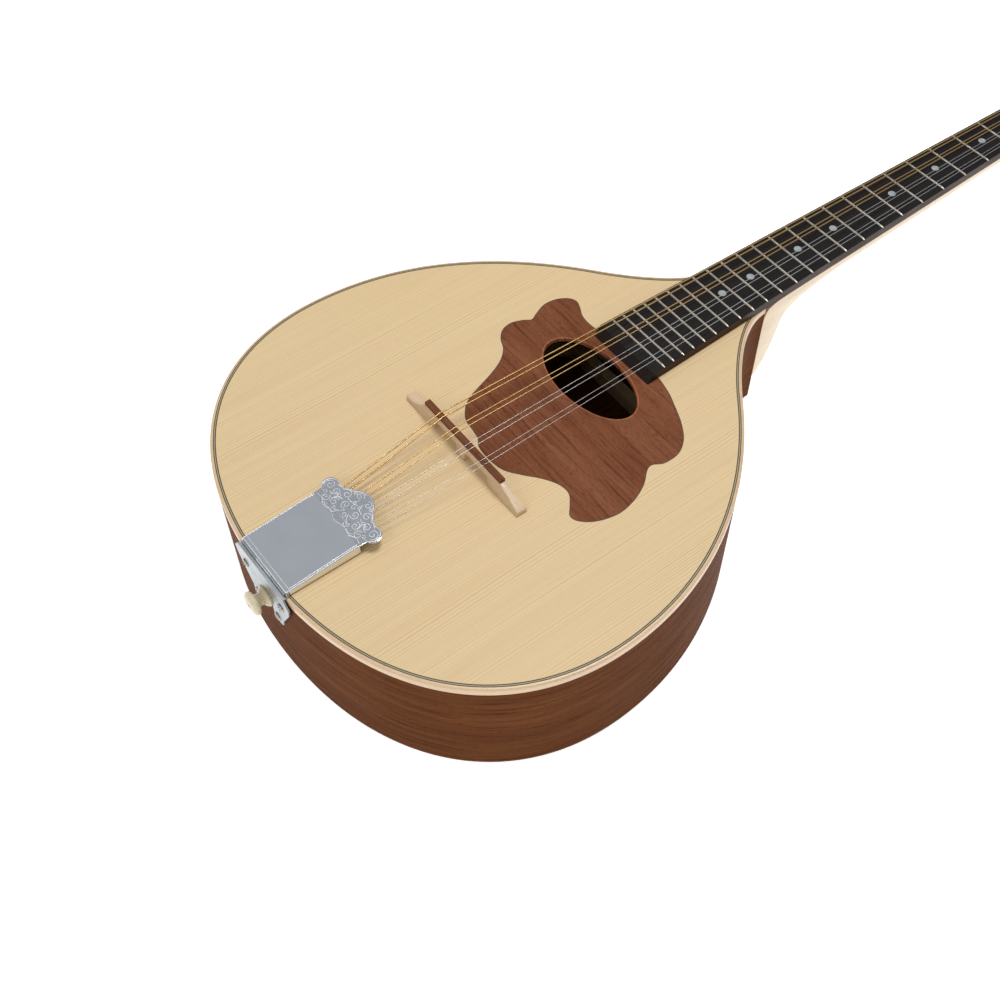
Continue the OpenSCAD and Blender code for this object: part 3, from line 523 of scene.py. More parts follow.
# a node tree that turns drawn lines into round wire
def growWireTree():
    tree = bpy.data.node_groups.new("wireAlongLine", "GeometryNodeTree")
    face = tree.interface
    face.new_socket("Geometry", in_out="INPUT", socket_type="NodeSocketGeometry")
    face.new_socket("Wire radius", in_out="INPUT", socket_type="NodeSocketFloat")
    face.new_socket("Sides", in_out="INPUT", socket_type="NodeSocketInt")
    face.new_socket("Finish", in_out="INPUT", socket_type="NodeSocketMaterial")
    face.new_socket("Geometry", in_out="OUTPUT", socket_type="NodeSocketGeometry")
    add, link = tree.nodes.new, tree.links.new
    start, end = add("NodeGroupInput"), add("NodeGroupOutput")
    line, circle = add("GeometryNodeMeshToCurve"), add("GeometryNodeCurvePrimitiveCircle")
    skin, smooth = add("GeometryNodeCurveToMesh"), add("GeometryNodeSetShadeSmooth")
    real, paint = add("GeometryNodeRealizeInstances"), add("GeometryNodeSetMaterial")
    skin.inputs["Fill Caps"].default_value = True
    link(start.outputs["Geometry"], line.inputs[0])
    link(start.outputs["Wire radius"], circle.inputs["Radius"])
    link(start.outputs["Sides"], circle.inputs["Resolution"])
    link(line.outputs[0], skin.inputs["Curve"])
    link(circle.outputs[0], skin.inputs["Profile Curve"])
    link(skin.outputs[0], smooth.inputs["Geometry"])
    link(smooth.outputs[0], real.inputs[0])
    link(real.outputs[0], paint.inputs["Geometry"])
    link(start.outputs["Finish"], paint.inputs["Material"])
    link(paint.outputs[0], end.inputs[0])
    return tree


wireTree = growWireTree()


def feed(modifier, values):
    tree = modifier.node_group
    for item in tree.interface.items_tree:
        if item.item_type == "SOCKET" and item.in_out == "INPUT" and item.name in values:
            modifier[item.identifier] = values[item.name]


def wirePiece(name, lines, radius, finish, sides=8, closed=()):
    points, edges = [], []
    for number, line in enumerate(lines):
        first = len(points)
        points += [tuple(c * mm for c in p) for p in line]
        edges += [(i, i + 1) for i in range(first, len(points) - 1)]
        if number in closed:
            edges.append((len(points) - 1, first))
    mesh = bpy.data.meshes.new(name)
    mesh.from_pydata(points, edges, [])
    obj = bpy.data.objects.new(name, mesh)
    scene.collection.objects.link(obj)
    live = obj.modifiers.new("wire", "NODES")
    live.node_group = wireTree
    feed(live, {"Wire radius": radius * mm, "Sides": sides, "Finish": finish})
    made = settle(obj)
    faceOutward(made.data)
    smoothPiece(made, 50)
    return made


# ---- the body's outline ----
body = {"halfWidth": 184.0, "tail": 161.0, "shoulder": 261.0, "binding": 2.3, "bindingDrop": 6.0,
        "roundEdge": 1.5, "side": 2.2, "back": 3.0, "backEdge": 0.9, "purfling": 0.62,
        "purflingDepth": 1.4, "lap": 0.02, "innerLap": 0.12,
        "tailPull": 114.0, "hipY": (-101.0, -10.0, 67.0), "knee": (102.0, 182.0), "kneeTurn": 141.4,
        "kneePull": (80.0, 20.0), "neckHalf": 24.4, "neckPull": 30.0, "stations": 64}


def bezierRun(p, count, skipFirst):
    t = np.linspace(0, 1, count + 1)[1 if skipFirst else 0:, None]
    p = [np.array(q, float) for q in p]
    at = (1 - t) ** 3 * p[0] + 3 * (1 - t) ** 2 * t * p[1] + 3 * (1 - t) * t ** 2 * p[2] + t ** 3 * p[3]
    way = 3 * (1 - t) ** 2 * (p[1] - p[0]) + 6 * (1 - t) * t * (p[2] - p[1]) + 3 * t ** 2 * (p[3] - p[2])
    return at, way / np.linalg.norm(way, axis=1)[:, None]


def rimStations(b):
    # places along the purfling's outer edge, from one shoulder round the tail to the other
    turn = math.radians(b["kneeTurn"])
    turn = np.array([math.cos(turn), math.sin(turn)])
    wide, tail, top = b["halfWidth"], b["tail"], b["shoulder"]
    low, hip, high = b["hipY"]
    knee = np.array([wide - b["knee"][0], b["knee"][1]])
    before, after = b["kneePull"]
    runs = [[(0, -tail), (b["tailPull"], -tail), (wide, low), (wide, hip)],
            [(wide, hip), (wide, high), knee - before * turn, knee],
            [knee, knee + after * turn, (b["neckHalf"], top - b["neckPull"]), (b["neckHalf"], top)]]
    spots, ways = zip(*[bezierRun(r, b["stations"], i > 0) for i, r in enumerate(runs)])
    spots, ways = np.vstack(spots), np.vstack(ways)
    out = np.stack([ways[:, 1], -ways[:, 0]], 1)
    spots = np.vstack([(spots * (-1, 1))[:0:-1], spots])
    out = np.vstack([(out * (-1, 1))[:0:-1], out])
    return spots, out


rimSpots, rimOut = rimStations(body)
rimArc = np.concatenate([[0], np.cumsum(np.linalg.norm(np.diff(rimSpots, axis=0), axis=1))])
tailStation = len(rimSpots) // 2


def rimStrip(name, profile, finish, first=0, last=len(rimSpots) - 1, smoothAngle=35):
    # a band that follows the rim; profile is a closed section of (distance outside the purfling, height)
    points, uv = [], []
    sideways = np.diff(np.array(profile + profile[:1]), axis=0)
    drawn = np.concatenate([[0], np.cumsum(np.hypot(*sideways.T))])
    for i in range(first, last + 1):
        for j, (d, z) in enumerate(profile):
            x, y = rimSpots[i] + d * rimOut[i]
            points.append((x, y, z))
            uv.append((rimArc[i] * mm, drawn[j] * mm))
    faces = shellFaces(last - first + 1, len(profile))
    return newPiece(name, points, faces, finish, smoothAngle, uv)


def arcPoints(cx, cy, r, a0, a1, steps):
    angles = [math.radians(a0 + (a1 - a0) * i / steps) for i in range(steps + 1)]
    return [(cx + r * math.cos(a), cy + r * math.sin(a)) for a in angles]


def buildBinding(b):
    wide, soft = b["binding"], b["roundEdge"]
    low = deck - b["bindingDrop"]
    section = [(0.0, low), (wide, low)] + arcPoints(wide - soft, deck - soft, soft, 0, 90, 7) + [(0.0, deck)]
    mount(rimStrip("mapleBinding", section, mapleEdge, smoothAngle=50), "maple_binding", ["binding"])


def buildPurfling(b):
    line, low, high = b["purfling"], deck - b["purflingDepth"], deck + b["lap"]
    innermost = -3 * line - b["innerLap"]
    for name, inner, outer, finish, slot, node in (
            ("outerBlackLine", -line, b["lap"], blackLine, "black_wood", "purfling_black"),
            ("innerBlackLine", innermost, -2 * line, blackLine, "black_wood", "purfling_black"),
            ("middleWhiteLine", -2 * line, -line, whiteLine, "white_wood", "purfling_white")):
        section = [(inner, low), (outer, low), (outer, high), (inner, high)]
        mount(rimStrip(name, section, finish), slot, [node])


def buildSides(b):
    inner, outer = b["binding"] - b["side"], b["binding"] - 0.03
    low, high = b["back"], deck - b["bindingDrop"]
    wall = [(inner, low), (outer, low), (outer, high), (inner, high)]
    mount(rimStrip("bassSide", wall, walnutSide, 0, tailStation), "walnut_side", ["side_bass"])
    mount(rimStrip("trebleSide", wall, walnutSide, tailStation), "walnut_side", ["side_treble"])


def buildBack(b):
    # two leaves with a softened lower edge
    wide, soft = b["binding"], b["backEdge"]
    levels = [(wide - soft, 0.0), (wide - 0.26, 0.26), (wide, soft), (wide, b["back"])]
    leaves = {"Bass": (range(0, tailStation + 1), 0), "Treble": (range(tailStation, len(rimSpots)), -1)}
    for name, (stations, shoulderEnd) in leaves.items():
        points = []
        for d, z in levels:
            ring = [(*(rimSpots[i] + d * rimOut[i]), z) for i in stations]
            points += ring + [(0.0, ring[shoulderEnd][1], z)]
        faces = shellFaces(len(levels), len(stations) + 1)
        leaf = newPiece("back" + name, points, faces, walnutBack)
        mount(leaf, "walnut_back", ["back_plate"])


buildBinding(body)
buildPurfling(body)
buildSides(body)
buildBack(body)
print("body shell made")


# ---- plate and soundhole ----
plate = {"marks": [
    [20, 150], [42, 147], [58, 141], [72, 134.5], [84, 126], [91, 115], [91.5, 102],
    [87.5, 94], [89, 88], [97, 78], [103, 64], [105, 49], [101, 34], [94, 24.5],
    [87, 22], [80.5, 27], [72, 33], [62, 32.5], [51, 26.5], [40, 17.5], [29, 10],
    [16, 7.5], [3, 8.5], [-4, 12.5], [-12, 14], [-22, 15.5], [-31, 21.5], [-37, 29.5],
    [-41, 40], [-46, 55], [-52, 68], [-60, 77], [-69, 81.5], [-75.5, 88], [-77.5, 97],
    [-74.5, 106], [-71, 112], [-74, 119], [-77.5, 129], [-76.5, 139], [-72, 147],
    [-66, 150.5], [-59, 148.5], [-51, 144.5], [-40, 143.5], [-20, 146]],
    "holeLong": 45.0, "holeShort": 24.0, "holeY": 110.0, "lip": 1.25, "outline": 0.55,
    "thick": 1.2, "proud": 0.03, "holeDepth": 3.1, "lipEdgeAndHighlightTone": 1.7}


def smoothLoop(marks, between):
    marks = [np.array(m, float) for m in marks]
    n, run = len(marks), []
    for i in range(n):
        a, b, c, d = (marks[(i + k) % n] for k in (-1, 0, 1, 2))
        for t in (j / between for j in range(between)):
            bend = (2 * a - 5 * b + 4 * c - d) * t * t + (3 * b - a - 3 * c + d) * t ** 3
            run.append(0.5 * (2 * b + (c - a) * t + bend))
    return run


def shifted(run, distance):
    # the same loop moved outward by distance
    run = np.array(run)
    way = np.roll(run, -1, 0) - np.roll(run, 1, 0)
    out = np.stack([way[:, 1], -way[:, 0]], 1) / np.linalg.norm(way, axis=1)[:, None]
    area = np.sum(run[:, 0] * np.roll(run[:, 1], -1) - np.roll(run[:, 0], -1) * run[:, 1])
    return run + out * distance * (1 if area > 0 else -1)


def atHeight(run, z):
    return [(p[0], p[1], z) for p in run]


def holeRun(p, grow, count=120):
    # the soundhole's oval, larger by grow
    long, short = p["holeLong"] + grow, p["holeShort"] + grow
    angles = [2 * math.pi * i / count for i in range(count)]
    return [(long * math.cos(a), p["holeY"] + short * math.sin(a)) for a in angles]


def loopBand(name, rings, finish, angle=50):
    # a closed band through rings of equal length
    points = [tuple(p) for ring in rings for p in ring]
    return newPiece(name, points, ringFaces(len(rings), len(rings[0]), joined=True), finish, angle)


def buildPlate(p):
    outline, face = smoothLoop(p["marks"], 6), deck + p["proud"]
    sheet = flatPiece("walnutPlate", [outline, holeRun(p, p["lip"])], deck - p["thick"], face, walnutPlate)
    mount(sheet, "walnut_plate", ["rosette_plate"])
    half, low, high = p["outline"] / 2, deck - 0.4, deck + 0.06
    rings = [atHeight(shifted(outline, side), z)
             for side, z in ((half, low), (half, high), (-half, high), (-half, low))]
    mount(loopBand("plateInlayLine", rings, blackLine), "walnut_plate", ["rosette_plate"])


def buildHoleLip(p):
    lip, face, low = p["lip"], deck + p["proud"], deck - p["holeDepth"]
    steps = ((lip, deck - 1.0), (lip, face), (0.55, face), (0.12, deck - 0.16), (0.0, deck - 0.6),
             (-0.12, low), (lip, low))
    rings = [atHeight(holeRun(p, grow), z) for grow, z in steps]
    # the lip's walnut is made lighter: partly the paler cut edge of the wood, partly a painted highlight
    # along the rim
    holeLip = mixWalnut("holeLip", walnut, tone=p["lipEdgeAndHighlightTone"])
    mount(loopBand("soundholeLip", rings, holeLip), "walnut_plate", ["rosette_plate"])


buildPlate(plate)
buildHoleLip(plate)
print("plate and soundhole made")


# ---- bridge ----
bridge = {"x": 1.5, "y": -2.7, "length": 129.4, "stripLength": 87.0, "height": 13.1, "foot": 9.0, "top": 4.4,
          "soft": 0.35, "archX": 17.6, "archHalf": 13.0, "archHigh": 5.0, "archRound": 3.0, "tip": 4.2}


def archLine(b, middle):
    half, high, r = b["archHalf"], b["archHigh"], b["archRound"]
    return [(middle + half, 0.0), (middle + half, high)] + arcPoints(middle + half - r, high, r, 0, 90, 5) \
        + arcPoints(middle - half + r, high, r, 90, 180, 5) + [(middle - half, 0.0)]


def buildBridge(b):
    far, near, high, tip = b["length"] / 2, b["stripLength"] / 2, b["height"], b["tip"]
    profile = [(far, 0.0), (far, tip)]
    profile += [(far - u * (far - near), tip + (high - tip) * u) for u in np.linspace(0, 1, 7)[1:]]
    profile += [(-far + 4 + u * (far - near - 4), 4.4 + (high - 4.4) * u * u) for u in np.linspace(1, 0, 9)]
    profile += [(-far, tip), (-far, 0.0)]
    profile += archLine(b, -b["archX"])[::-1] + archLine(b, b["archX"])[::-1]
    points = []
    for side in (-1, 1):
        for x, z in profile:
            half = (b["foot"] + (b["top"] - b["foot"]) * z / high) / 2
            points.append((b["x"] + x, b["y"] + side * half, deck + z))
    made = newPiece("bridgeBase", points, shellFaces(2, len(profile)), mapleBridge)
    mount(bevelled(made, b["soft"], 2, 35), "maple_bridge", ["bridge_base"])


buildBridge(bridge)
print("bridge made")


# ---- tailpiece cover ----
cover = {"width": 54.6, "top": 8.6, "fold": 0.9, "tailEdge": -161.1, "front": -105.0, "thick": 0.9,
         "lean": 3.8, "skirt": 1.4, "pivot": (-160.7, 2.6, 1.3), "knuckleHalf": 8.9, "webHigh": (3.5, 4.6),
         "lobes": [(0, -90.5, 13.0), (25.5, -93.6, 6.2), (17.5, -95.0, 7.2), (8.5, -93.5, 10.5),
                   (20.0, -100.5, 6.0)],
         "bead": 0.42, "scroll": 0.36, "ridge": 0.42}
# centre, radius, turns, first angle and direction of each scroll on the right half; the left half mirrors it
crownSpirals = [
    (25.6, -93.6, 4.1, 1.5, -60, 1), (18.4, -93.6, 3.2, 1.3, 200, -1), (19.6, -101.2, 3.4, 1.4, 90, 1),
    (11.8, -88.9, 3.6, 1.4, 20, 1), (12.6, -98.8, 3.3, 1.4, 120, -1), (4.6, -83.4, 3.0, 1.3, 150, -1),
    (5.4, -94.3, 3.4, 1.4, 240, 1), (7.2, -102.6, 2.6, 1.3, 60, -1), (14.6, -94.0, 1.9, 1.1, 0, 1),
    (23.4, -99.4, 1.7, 1.1, 180, -1), (9.3, -84.2, 1.6, 1.0, 90, 1), (3.0, -88.6, 1.6, 1.1, 300, -1)]
crownStems = [
    ((21.8, -96.5), (15.5, -92.0), 0.25), ((15.8, -99.5), (10.2, -93.2), -0.22),
    ((8.6, -90.6), (2.2, -85.6), 0.25), ((9.6, -101.0), (2.4, -97.2), 0.25),
    ((22.4, -90.4), (16.4, -89.2), -0.25), ((17.0, -103.6), (10.4, -104.2), 0.2)]
crownMiddle = [(0, -91.4, 2.4, 1.0, 90, 1), (0, -99.6, 2.6, 1.0, 270, 1)]
skirtBows = [((-26.2, -104.6), (-16.0, -106.2), 0.18), ((-16.0, -106.2), (0, -107.2), 0.10),
             ((0, -107.2), (16.0, -106.2), 0.10), ((16.0, -106.2), (26.2, -104.6), 0.18)]
crownZ = deck + cover["top"]
leanAt = Matrix.Translation((0, cover["front"] * mm, crownZ * mm))
lean = leanAt @ Matrix.Rotation(math.radians(cover["lean"]), 4, "X") @ leanAt.inverted()


def mountCover(obj, leaning=True):
    if leaning:
        obj.data.transform(lean)
    mount(obj, "nickel_cover", ["tailpiece_cover"], "cover")


def buildCoverShell(c):
    w, t, r, low = c["width"] / 2, c["thick"], c["fold"], deck + c["skirt"]
    points = []
    for y in (c["tailEdge"], c["front"]):
        top = deck + c["top"] + (y - c["front"]) * math.tan(math.radians(c["lean"]))
        folds = arcPoints(-w + r, top - r, r, 180, 90, 5) + arcPoints(w - r, top - r, r, 90, 0, 5)
        inside = [(w - t, low), (w - t, top - t), (-w + t, top - t), (-w + t, low)]
        section = [(-w, low)] + folds + [(w, low)] + inside
        points += [(x, y, z) for x, z in section]
    mountCover(newPiece("coverShell", points, shellFaces(2, len(section)), nickelCover, 30), leaning=False)


def crownOutline(c):
    # the outer edge of overlapping round lobes, ending at the cover's straight part
    half, middleY = c["width"] / 2, -108
    circles = [(s * x, y, r) for x, y, r in c["lobes"] for s in ((1,) if x == 0 else (-1, 1))]
    found = []
    for cx, cy, r in circles:
        for a in range(0, 360, 5):
            x, y = cx + r * math.cos(math.radians(a)), cy + r * math.sin(math.radians(a))
            inside = any(math.hypot(x - ox, y - oy) < o - 0.02 for ox, oy, o in circles)
            if not inside and (y > -99.4 or abs(x) > half) and y > -100:
                found.append((math.atan2(y - middleY, x), x, y))
    return [(half, -106.0)] + [(x, y) for a, x, y in sorted(found)] + [(-half, -106.0)]


def spiral(cx, cy, radius, turns, start, hand, steps=26):
    run = []
    for t in (i / steps for i in range(steps + 1)):
        a = math.radians(start) + hand * turns * 2 * math.pi * t
        r = radius * (1 - 0.86 * t)
        run.append((cx + r * math.cos(a), cy + r * math.sin(a)))
    return run


def bow(p, q, lift, steps=12):
    # a line from p to q, lifted sideways in the middle
    p, q = np.array(p, float), np.array(q, float)
    side = np.array([-(q - p)[1], (q - p)[0]])
    shares = np.linspace(0, 1, steps + 1)
    return [tuple(p + (q - p) * t + side * lift * math.sin(math.pi * t)) for t in shares]


def buildCrown(c):
    outline = crownOutline(c)
    sheet = flatPiece("crownSheet", [outline], crownZ - c["thick"], crownZ + 0.12, nickelChased, 0.22)
    smoothPiece(sheet, 12)
    mountCover(sheet)
    inward = [(x * 0.962, -103 + (y + 103) * 0.955) for x, y in outline[1:-1]]
    skirt = [p for p, q, lift in skirtBows for p in bow(p, q, lift)]
    edge = atHeight(inward + skirt[::-1], crownZ + 0.12)
    mountCover(wirePiece("crownBead", [edge], c["bead"], nickelBright, 8, (0,)))


def buildScrolls(c):
    runs = []
    for s in (-1, 1):
        right = [spiral(*mark) for mark in crownSpirals] + [bow(*mark) for mark in crownStems]
        runs += [[(s * x, y) for x, y in run] for run in right]
    runs += [spiral(*mark) for mark in crownMiddle]
    lines = [atHeight(run, crownZ + 0.1) for run in runs]
    mountCover(wirePiece("crownScrolls", lines, c["scroll"], nickelBright, 6))


def buildRidges(c):
    w, tail, front = c["width"] / 2, c["tailEdge"], -106.0
    lines = [[(-w + 0.7, y, crownZ + 0.02) for y in (tail + 0.4, front)],
             [(w - 0.7, y, crownZ + 0.02) for y in (tail + 0.4, front)],
             [(w - 2.1, y, crownZ - 0.05) for y in (tail + 3.4, front)],
             [(x, tail + 0.5, crownZ + 0.02) for x in (-w + 0.7, w - 0.7)],
             [(x, tail + 3.2, crownZ - 0.02) for x in (-w + 1.4, w - 1.4)]]
    mountCover(wirePiece("coverRidges", lines, c["ridge"], nickelBright, 10))


def buildCoverHinge(c):
    y, z, r = c["pivot"]
    ends = (-c["knuckleHalf"], c["knuckleHalf"])
    barrel = wirePiece("coverKnuckle", [[(x, y, deck + z) for x in ends]], r, nickelPlate, 20)
    mountCover(barrel, leaning=False)
    low, high = (deck + z for z in c["webHigh"])
    section = [(y - 0.3, low), (y + 1.2, low), (y + 1.2, high), (y - 0.3, high)]
    points = [(x, *spot) for x in ends for spot in section]
    mountCover(newPiece("coverWeb", points, shellFaces(2, 4), nickelPlate), leaning=False)


buildCoverShell(cover)
buildCrown(cover)
buildScrolls(cover)
buildRidges(cover)
buildCoverHinge(cover)
print("tailpiece cover made")


# ---- tail screws ----
tailScrew = {"head": 3.4, "rim": 0.45, "rise": 1.7, "slot": 0.55, "slotHalf": 1.9, "slotDepth": 0.9,
             "sides": 28, "face": -164.5, "spots": ((-22, -15), (22, -15), (-12.4, -38), (12.4, -38))}


def buildScrewHeads(t):
    # rounded heads; the crossed slots are black bars let into them: painted shade standing in for the slots'
    # dark hollows
    points, faces, bars, barFaces = [], [], [], []
    around = [2 * math.pi * i / t["sides"] for i in range(t["sides"])]
    dome = [(t["head"], 0.0), (t["head"], t["rim"])]
    for a in (math.radians(a) for a in (18, 36, 54, 70)):
        dome.append((t["head"] * math.cos(a), t["rim"] + (t["rise"] - t["rim"]) * math.sin(a)))
    for x, z in t["spots"]:
        faces += shellFaces(len(dome), len(around), len(points))
        for r, h in dome:
            points += [(x + r * math.cos(a), t["face"] - h, deck + z + r * math.sin(a)) for a in around]
        for wide, high in ((t["slotHalf"], t["slot"] / 2), (t["slot"] / 2, t["slotHalf"])):
            barFaces += shellFaces(2, 4, len(bars))
            for depth in (t["rise"] - t["slotDepth"], t["rise"] + 0.02):
                bars += [(x + i * wide, t["face"] - depth, deck + z + j * high)
                         for i, j in ((-1, -1), (1, -1), (1, 1), (-1, 1))]
    mount(newPiece("tailScrewHeads", points, faces, screwDark), "screw_steel")
    mount(newPiece("tailScrewSlotShade", bars, barFaces, blackCover), "screw_steel")


buildScrewHeads(tailScrew)
print("tail screws made")


# ---- neck ----
neck = {"joint": 261.0, "nut": 620.0, "boardEnd": 155.0, "boardWide": 60.0, "boardNarrow": 35.4,
        "depth": 21.2, "depthNut": 16.0, "sweepLong": 96.0, "sweepTall": 36.8, "heelHalf": 15.0,
        "heelDeep": 40.0, "heelLean": 7.0, "heelLow": 0.4,
        "headAngle": 12.0, "headThick": 15.0, "veneer": 1.6, "sides": 28, "postX": 22.0, "postHole": 3.4,
        "postY": (44, 74, 104, 134)}
# angle round the heel's sweep, and where the neck's edge then sits (past the joint, above the top)
sweepEdge = [(0, 96, 0), (15, 79, 0), (30, 56, 0), (45, 31, 0), (55, 14, 0), (63, 4, -2.5), (70, 0, -9.0),
             (78, 0, -17.5), (90, 0, -31.0)]
headHalf = [(0, 17.7), (8, 18.6), (20, 31), (28, 36), (60, 37), (152, 35.6), (166, 31), (174, 20), (172, 9),
            (176, 0)]


def boardHalf(y):
    share = (y - neck["boardEnd"]) / (neck["nut"] - neck["boardEnd"])
    return (neck["boardWide"] + (neck["boardNarrow"] - neck["boardWide"]) * share) / 2


def heelHalf(z):
    low = neck["heelHalf"]
    return low + (boardHalf(neck["joint"]) - low) * math.sin(math.radians(90 * max(z, 0.0) / deck)) ** 0.8


def neckSections(n):
    # each section: half width, where its two ends sit (y, z), where its keel sits (y, z)
    joint, end, deep = n["joint"], n["nut"] + 5, n["depth"]
    straight, swept = joint + n["sweepLong"], n["sweepLong"] - n["heelDeep"]
    rows = []
    for y in np.linspace(end, straight, 26):
        depth = deep + (n["depthNut"] - deep) * (y - straight) / (end - straight)
        rows.append((boardHalf(y), y, deck, y, deck - depth))
    angles, past, rise = zip(*sweepEdge)
    for a in np.linspace(0, 90, 25)[1:]:
        ya, za = joint + np.interp(a, angles, past), deck + np.interp(a, angles, rise)
        yb = straight - swept * math.sin(math.radians(a))
        zb = deck - deep - n["sweepTall"] * (1 - math.cos(math.radians(a)))
        rows.append((min(boardHalf(ya), heelHalf(za)), ya, za, yb, zb))
    edge, keel, low = deck + rise[-1], deck - deep - n["sweepTall"], n["heelLow"]
    for t in np.linspace(0, 1, 13)[1:]:
        za, zb = edge + (low - edge) * t, keel + (low - keel) * t
        rows.append((heelHalf(za), joint, za, joint + n["heelDeep"] - n["heelLean"] * t ** 0.8, zb))
    return rows


def buildShaft(n):
    rows, points = neckSections(n), []
    for half, ya, za, yb, zb in rows:
        for a in (math.pi * i / n["sides"] for i in range(n["sides"] + 1)):
            drop = math.sin(a) ** 0.86
            points.append((half * math.cos(a), ya + (yb - ya) * drop, za + (zb - za) * drop))
    shaft = newPiece("neckShaft", points, shellFaces(len(rows), n["sides"] + 1), mapleNeckLit, 42)
    mount(shaft, "maple_neck", ["neck"])


headTilt = Matrix.Rotation(math.radians(-neck["headAngle"]), 4, "X")
onHead = Matrix.Translation((0, (neck["nut"] + 5) * mm, (deck - 1) * mm)) @ headTilt


def buildHeadstock(n):
    outline = [(x, y) for y, x in headHalf] + [(-x, y) for y, x in headHalf[-2::-1]]
    around, r = np.linspace(0, 2 * math.pi, 33)[:-1], n["postHole"]
    holes = [[(s * n["postX"] + r * math.cos(a), y + r * math.sin(a)) for a in around]
             for s in (-1, 1) for y in n["postY"]]
    head = flatPiece("headstock", [outline] + holes, -n["headThick"], -n["veneer"], mapleNeckLit, 0.8, onHead)
    mount(head, "maple_neck", ["neck"])


def buildVolute(n):
    # the thumb swelling behind the nut
    points, sides, first, long = [], 16, 606, 46
    slope = math.tan(math.radians(n["headAngle"]))
    around = [2 * math.pi * i / sides for i in range(sides)]
    shares = np.linspace(0, 1, 11)
    for t in shares:
        y = first + long * t
        swell = math.sin(math.pi * t) ** 0.7 if 0 < t < 1 else 0.0
        back = deck - n["depthNut"] - max(0.0, y - 622) * slope
        half, top, low = 6 + 7.5 * swell, back + 5, back - 2.2 * swell + 0.9
        points += [(half * math.cos(a), y, (top + low) / 2 + (top - low) / 2 * math.sin(a)) for a in around]
    swelling = newPiece("neckVolute", points, shellFaces(len(shares), sides), mapleNeckLit, 60)
    mount(swelling, "maple_neck", ["neck"])


buildShaft(neck)
buildHeadstock(neck)
buildVolute(neck)
print("neck made")


# ---- frets ----
frets = {"count": 24, "crown": 1.0, "board": 7.6, "sink": -0.1}


def growFretTree():
    tree = bpy.data.node_groups.new("fretRow", "GeometryNodeTree")
    face = tree.interface
    face.new_socket("Geometry", in_out="INPUT", socket_type="NodeSocketGeometry")
    for name, kind in (("Count", "Int"), ("String length", "Float"), ("Wide half", "Float"),
                       ("Wide at", "Float"), ("Narrow half", "Float"), ("Height", "Float"),
                       ("Crown", "Float"), ("Finish", "Material")):
        face.new_socket(name, in_out="INPUT", socket_type="NodeSocket" + kind)
    face.new_socket("Geometry", in_out="OUTPUT", socket_type="NodeSocketGeometry")
    link = tree.links.new

    def add(kind, **settings):
        made = tree.nodes.new(kind)
        for key, value in settings.items():
            setattr(made, key, value)
        return made

    def sums(how, a, b=0.0):
        made = add("ShaderNodeMath", operation=how)
        for socket, value in zip(made.inputs, (a, b)):
            if isinstance(value, (int, float)):
                socket.default_value = value
            else:
                link(value, socket)
        return made.outputs[0]

    # each fret's distance from the bridge, and the board's half width there
    start, end = add("NodeGroupInput"), add("NodeGroupOutput")
    s = start.outputs
    index = add("GeometryNodeInputIndex").outputs[0]
    octaves = sums("DIVIDE", sums("ADD", index, 1.0), -12.0)
    y = sums("MULTIPLY", s["String length"], sums("POWER", 2.0, octaves))
    boardLong = sums("SUBTRACT", s["String length"], s["Wide at"])
    share = sums("DIVIDE", sums("SUBTRACT", y, s["Wide at"]), boardLong)
    spread = sums("SUBTRACT", s["Narrow half"], s["Wide half"])
    half = sums("ADD", s["Wide half"], sums("MULTIPLY", spread, share))
    spots = add("GeometryNodePoints")
    link(s["Count"], spots.inputs["Count"])
    spot = add("ShaderNodeCombineXYZ")
    link(y, spot.inputs[1])
    link(s["Height"], spot.inputs[2])
    link(spot.outputs[0], spots.inputs["Position"])

    # one fret from -1 to 1 across, thinner at its two ends
    wire = add("GeometryNodeCurvePrimitiveLine")
    wire.inputs["Start"].default_value = (-1, 0, 0)
    wire.inputs["End"].default_value = (1, 0, 0)
    cut = add("GeometryNodeResampleCurve")
    cut.inputs["Count"].default_value = 41
    link(wire.outputs[0], cut.inputs["Curve"])
    where = add("ShaderNodeSeparateXYZ")
    link(add("GeometryNodeInputPosition").outputs[0], where.inputs[0])
    taper = add("ShaderNodeMapRange")
    for socket, value in ((1, 0.94), (2, 1.0), (3, 1.0), (4, 0.45)):
        taper.inputs[socket].default_value = value
    link(sums("ABSOLUTE", where.outputs[0]), taper.inputs[0])
    thin = add("GeometryNodeSetCurveRadius")
    link(cut.outputs[0], thin.inputs["Curve"])
    link(taper.outputs[0], thin.inputs["Radius"])
    ring = add("GeometryNodeCurvePrimitiveCircle")
    ring.inputs["Resolution"].default_value = 14
    link(s["Crown"], ring.inputs["Radius"])
    rod = add("GeometryNodeCurveToMesh")
    rod.inputs["Fill Caps"].default_value = True
    link(thin.outputs[0], rod.inputs["Curve"])
    link(ring.outputs[0], rod.inputs["Profile Curve"])
    if "Scale" in rod.inputs:
        link(taper.outputs[0], rod.inputs["Scale"])

    # the fret set at each place, stretched to the board's width
    size = add("ShaderNodeCombineXYZ")
    link(half, size.inputs[0])
    size.inputs[1].default_value = 1.0
    size.inputs[2].default_value = 1.0
    seat = add("GeometryNodeInstanceOnPoints")
    link(spots.outputs[0], seat.inputs["Points"])
    link(rod.outputs[0], seat.inputs["Instance"])
    link(size.outputs[0], seat.inputs["Scale"])
    smooth = add("GeometryNodeSetShadeSmooth")
    real, paint = add("GeometryNodeRealizeInstances"), add("GeometryNodeSetMaterial")
    link(seat.outputs[0], real.inputs[0])
    link(real.outputs[0], smooth.inputs["Geometry"])
    link(smooth.outputs[0], paint.inputs["Geometry"])
    link(s["Finish"], paint.inputs["Material"])
    link(paint.outputs[0], end.inputs[0])
    return tree


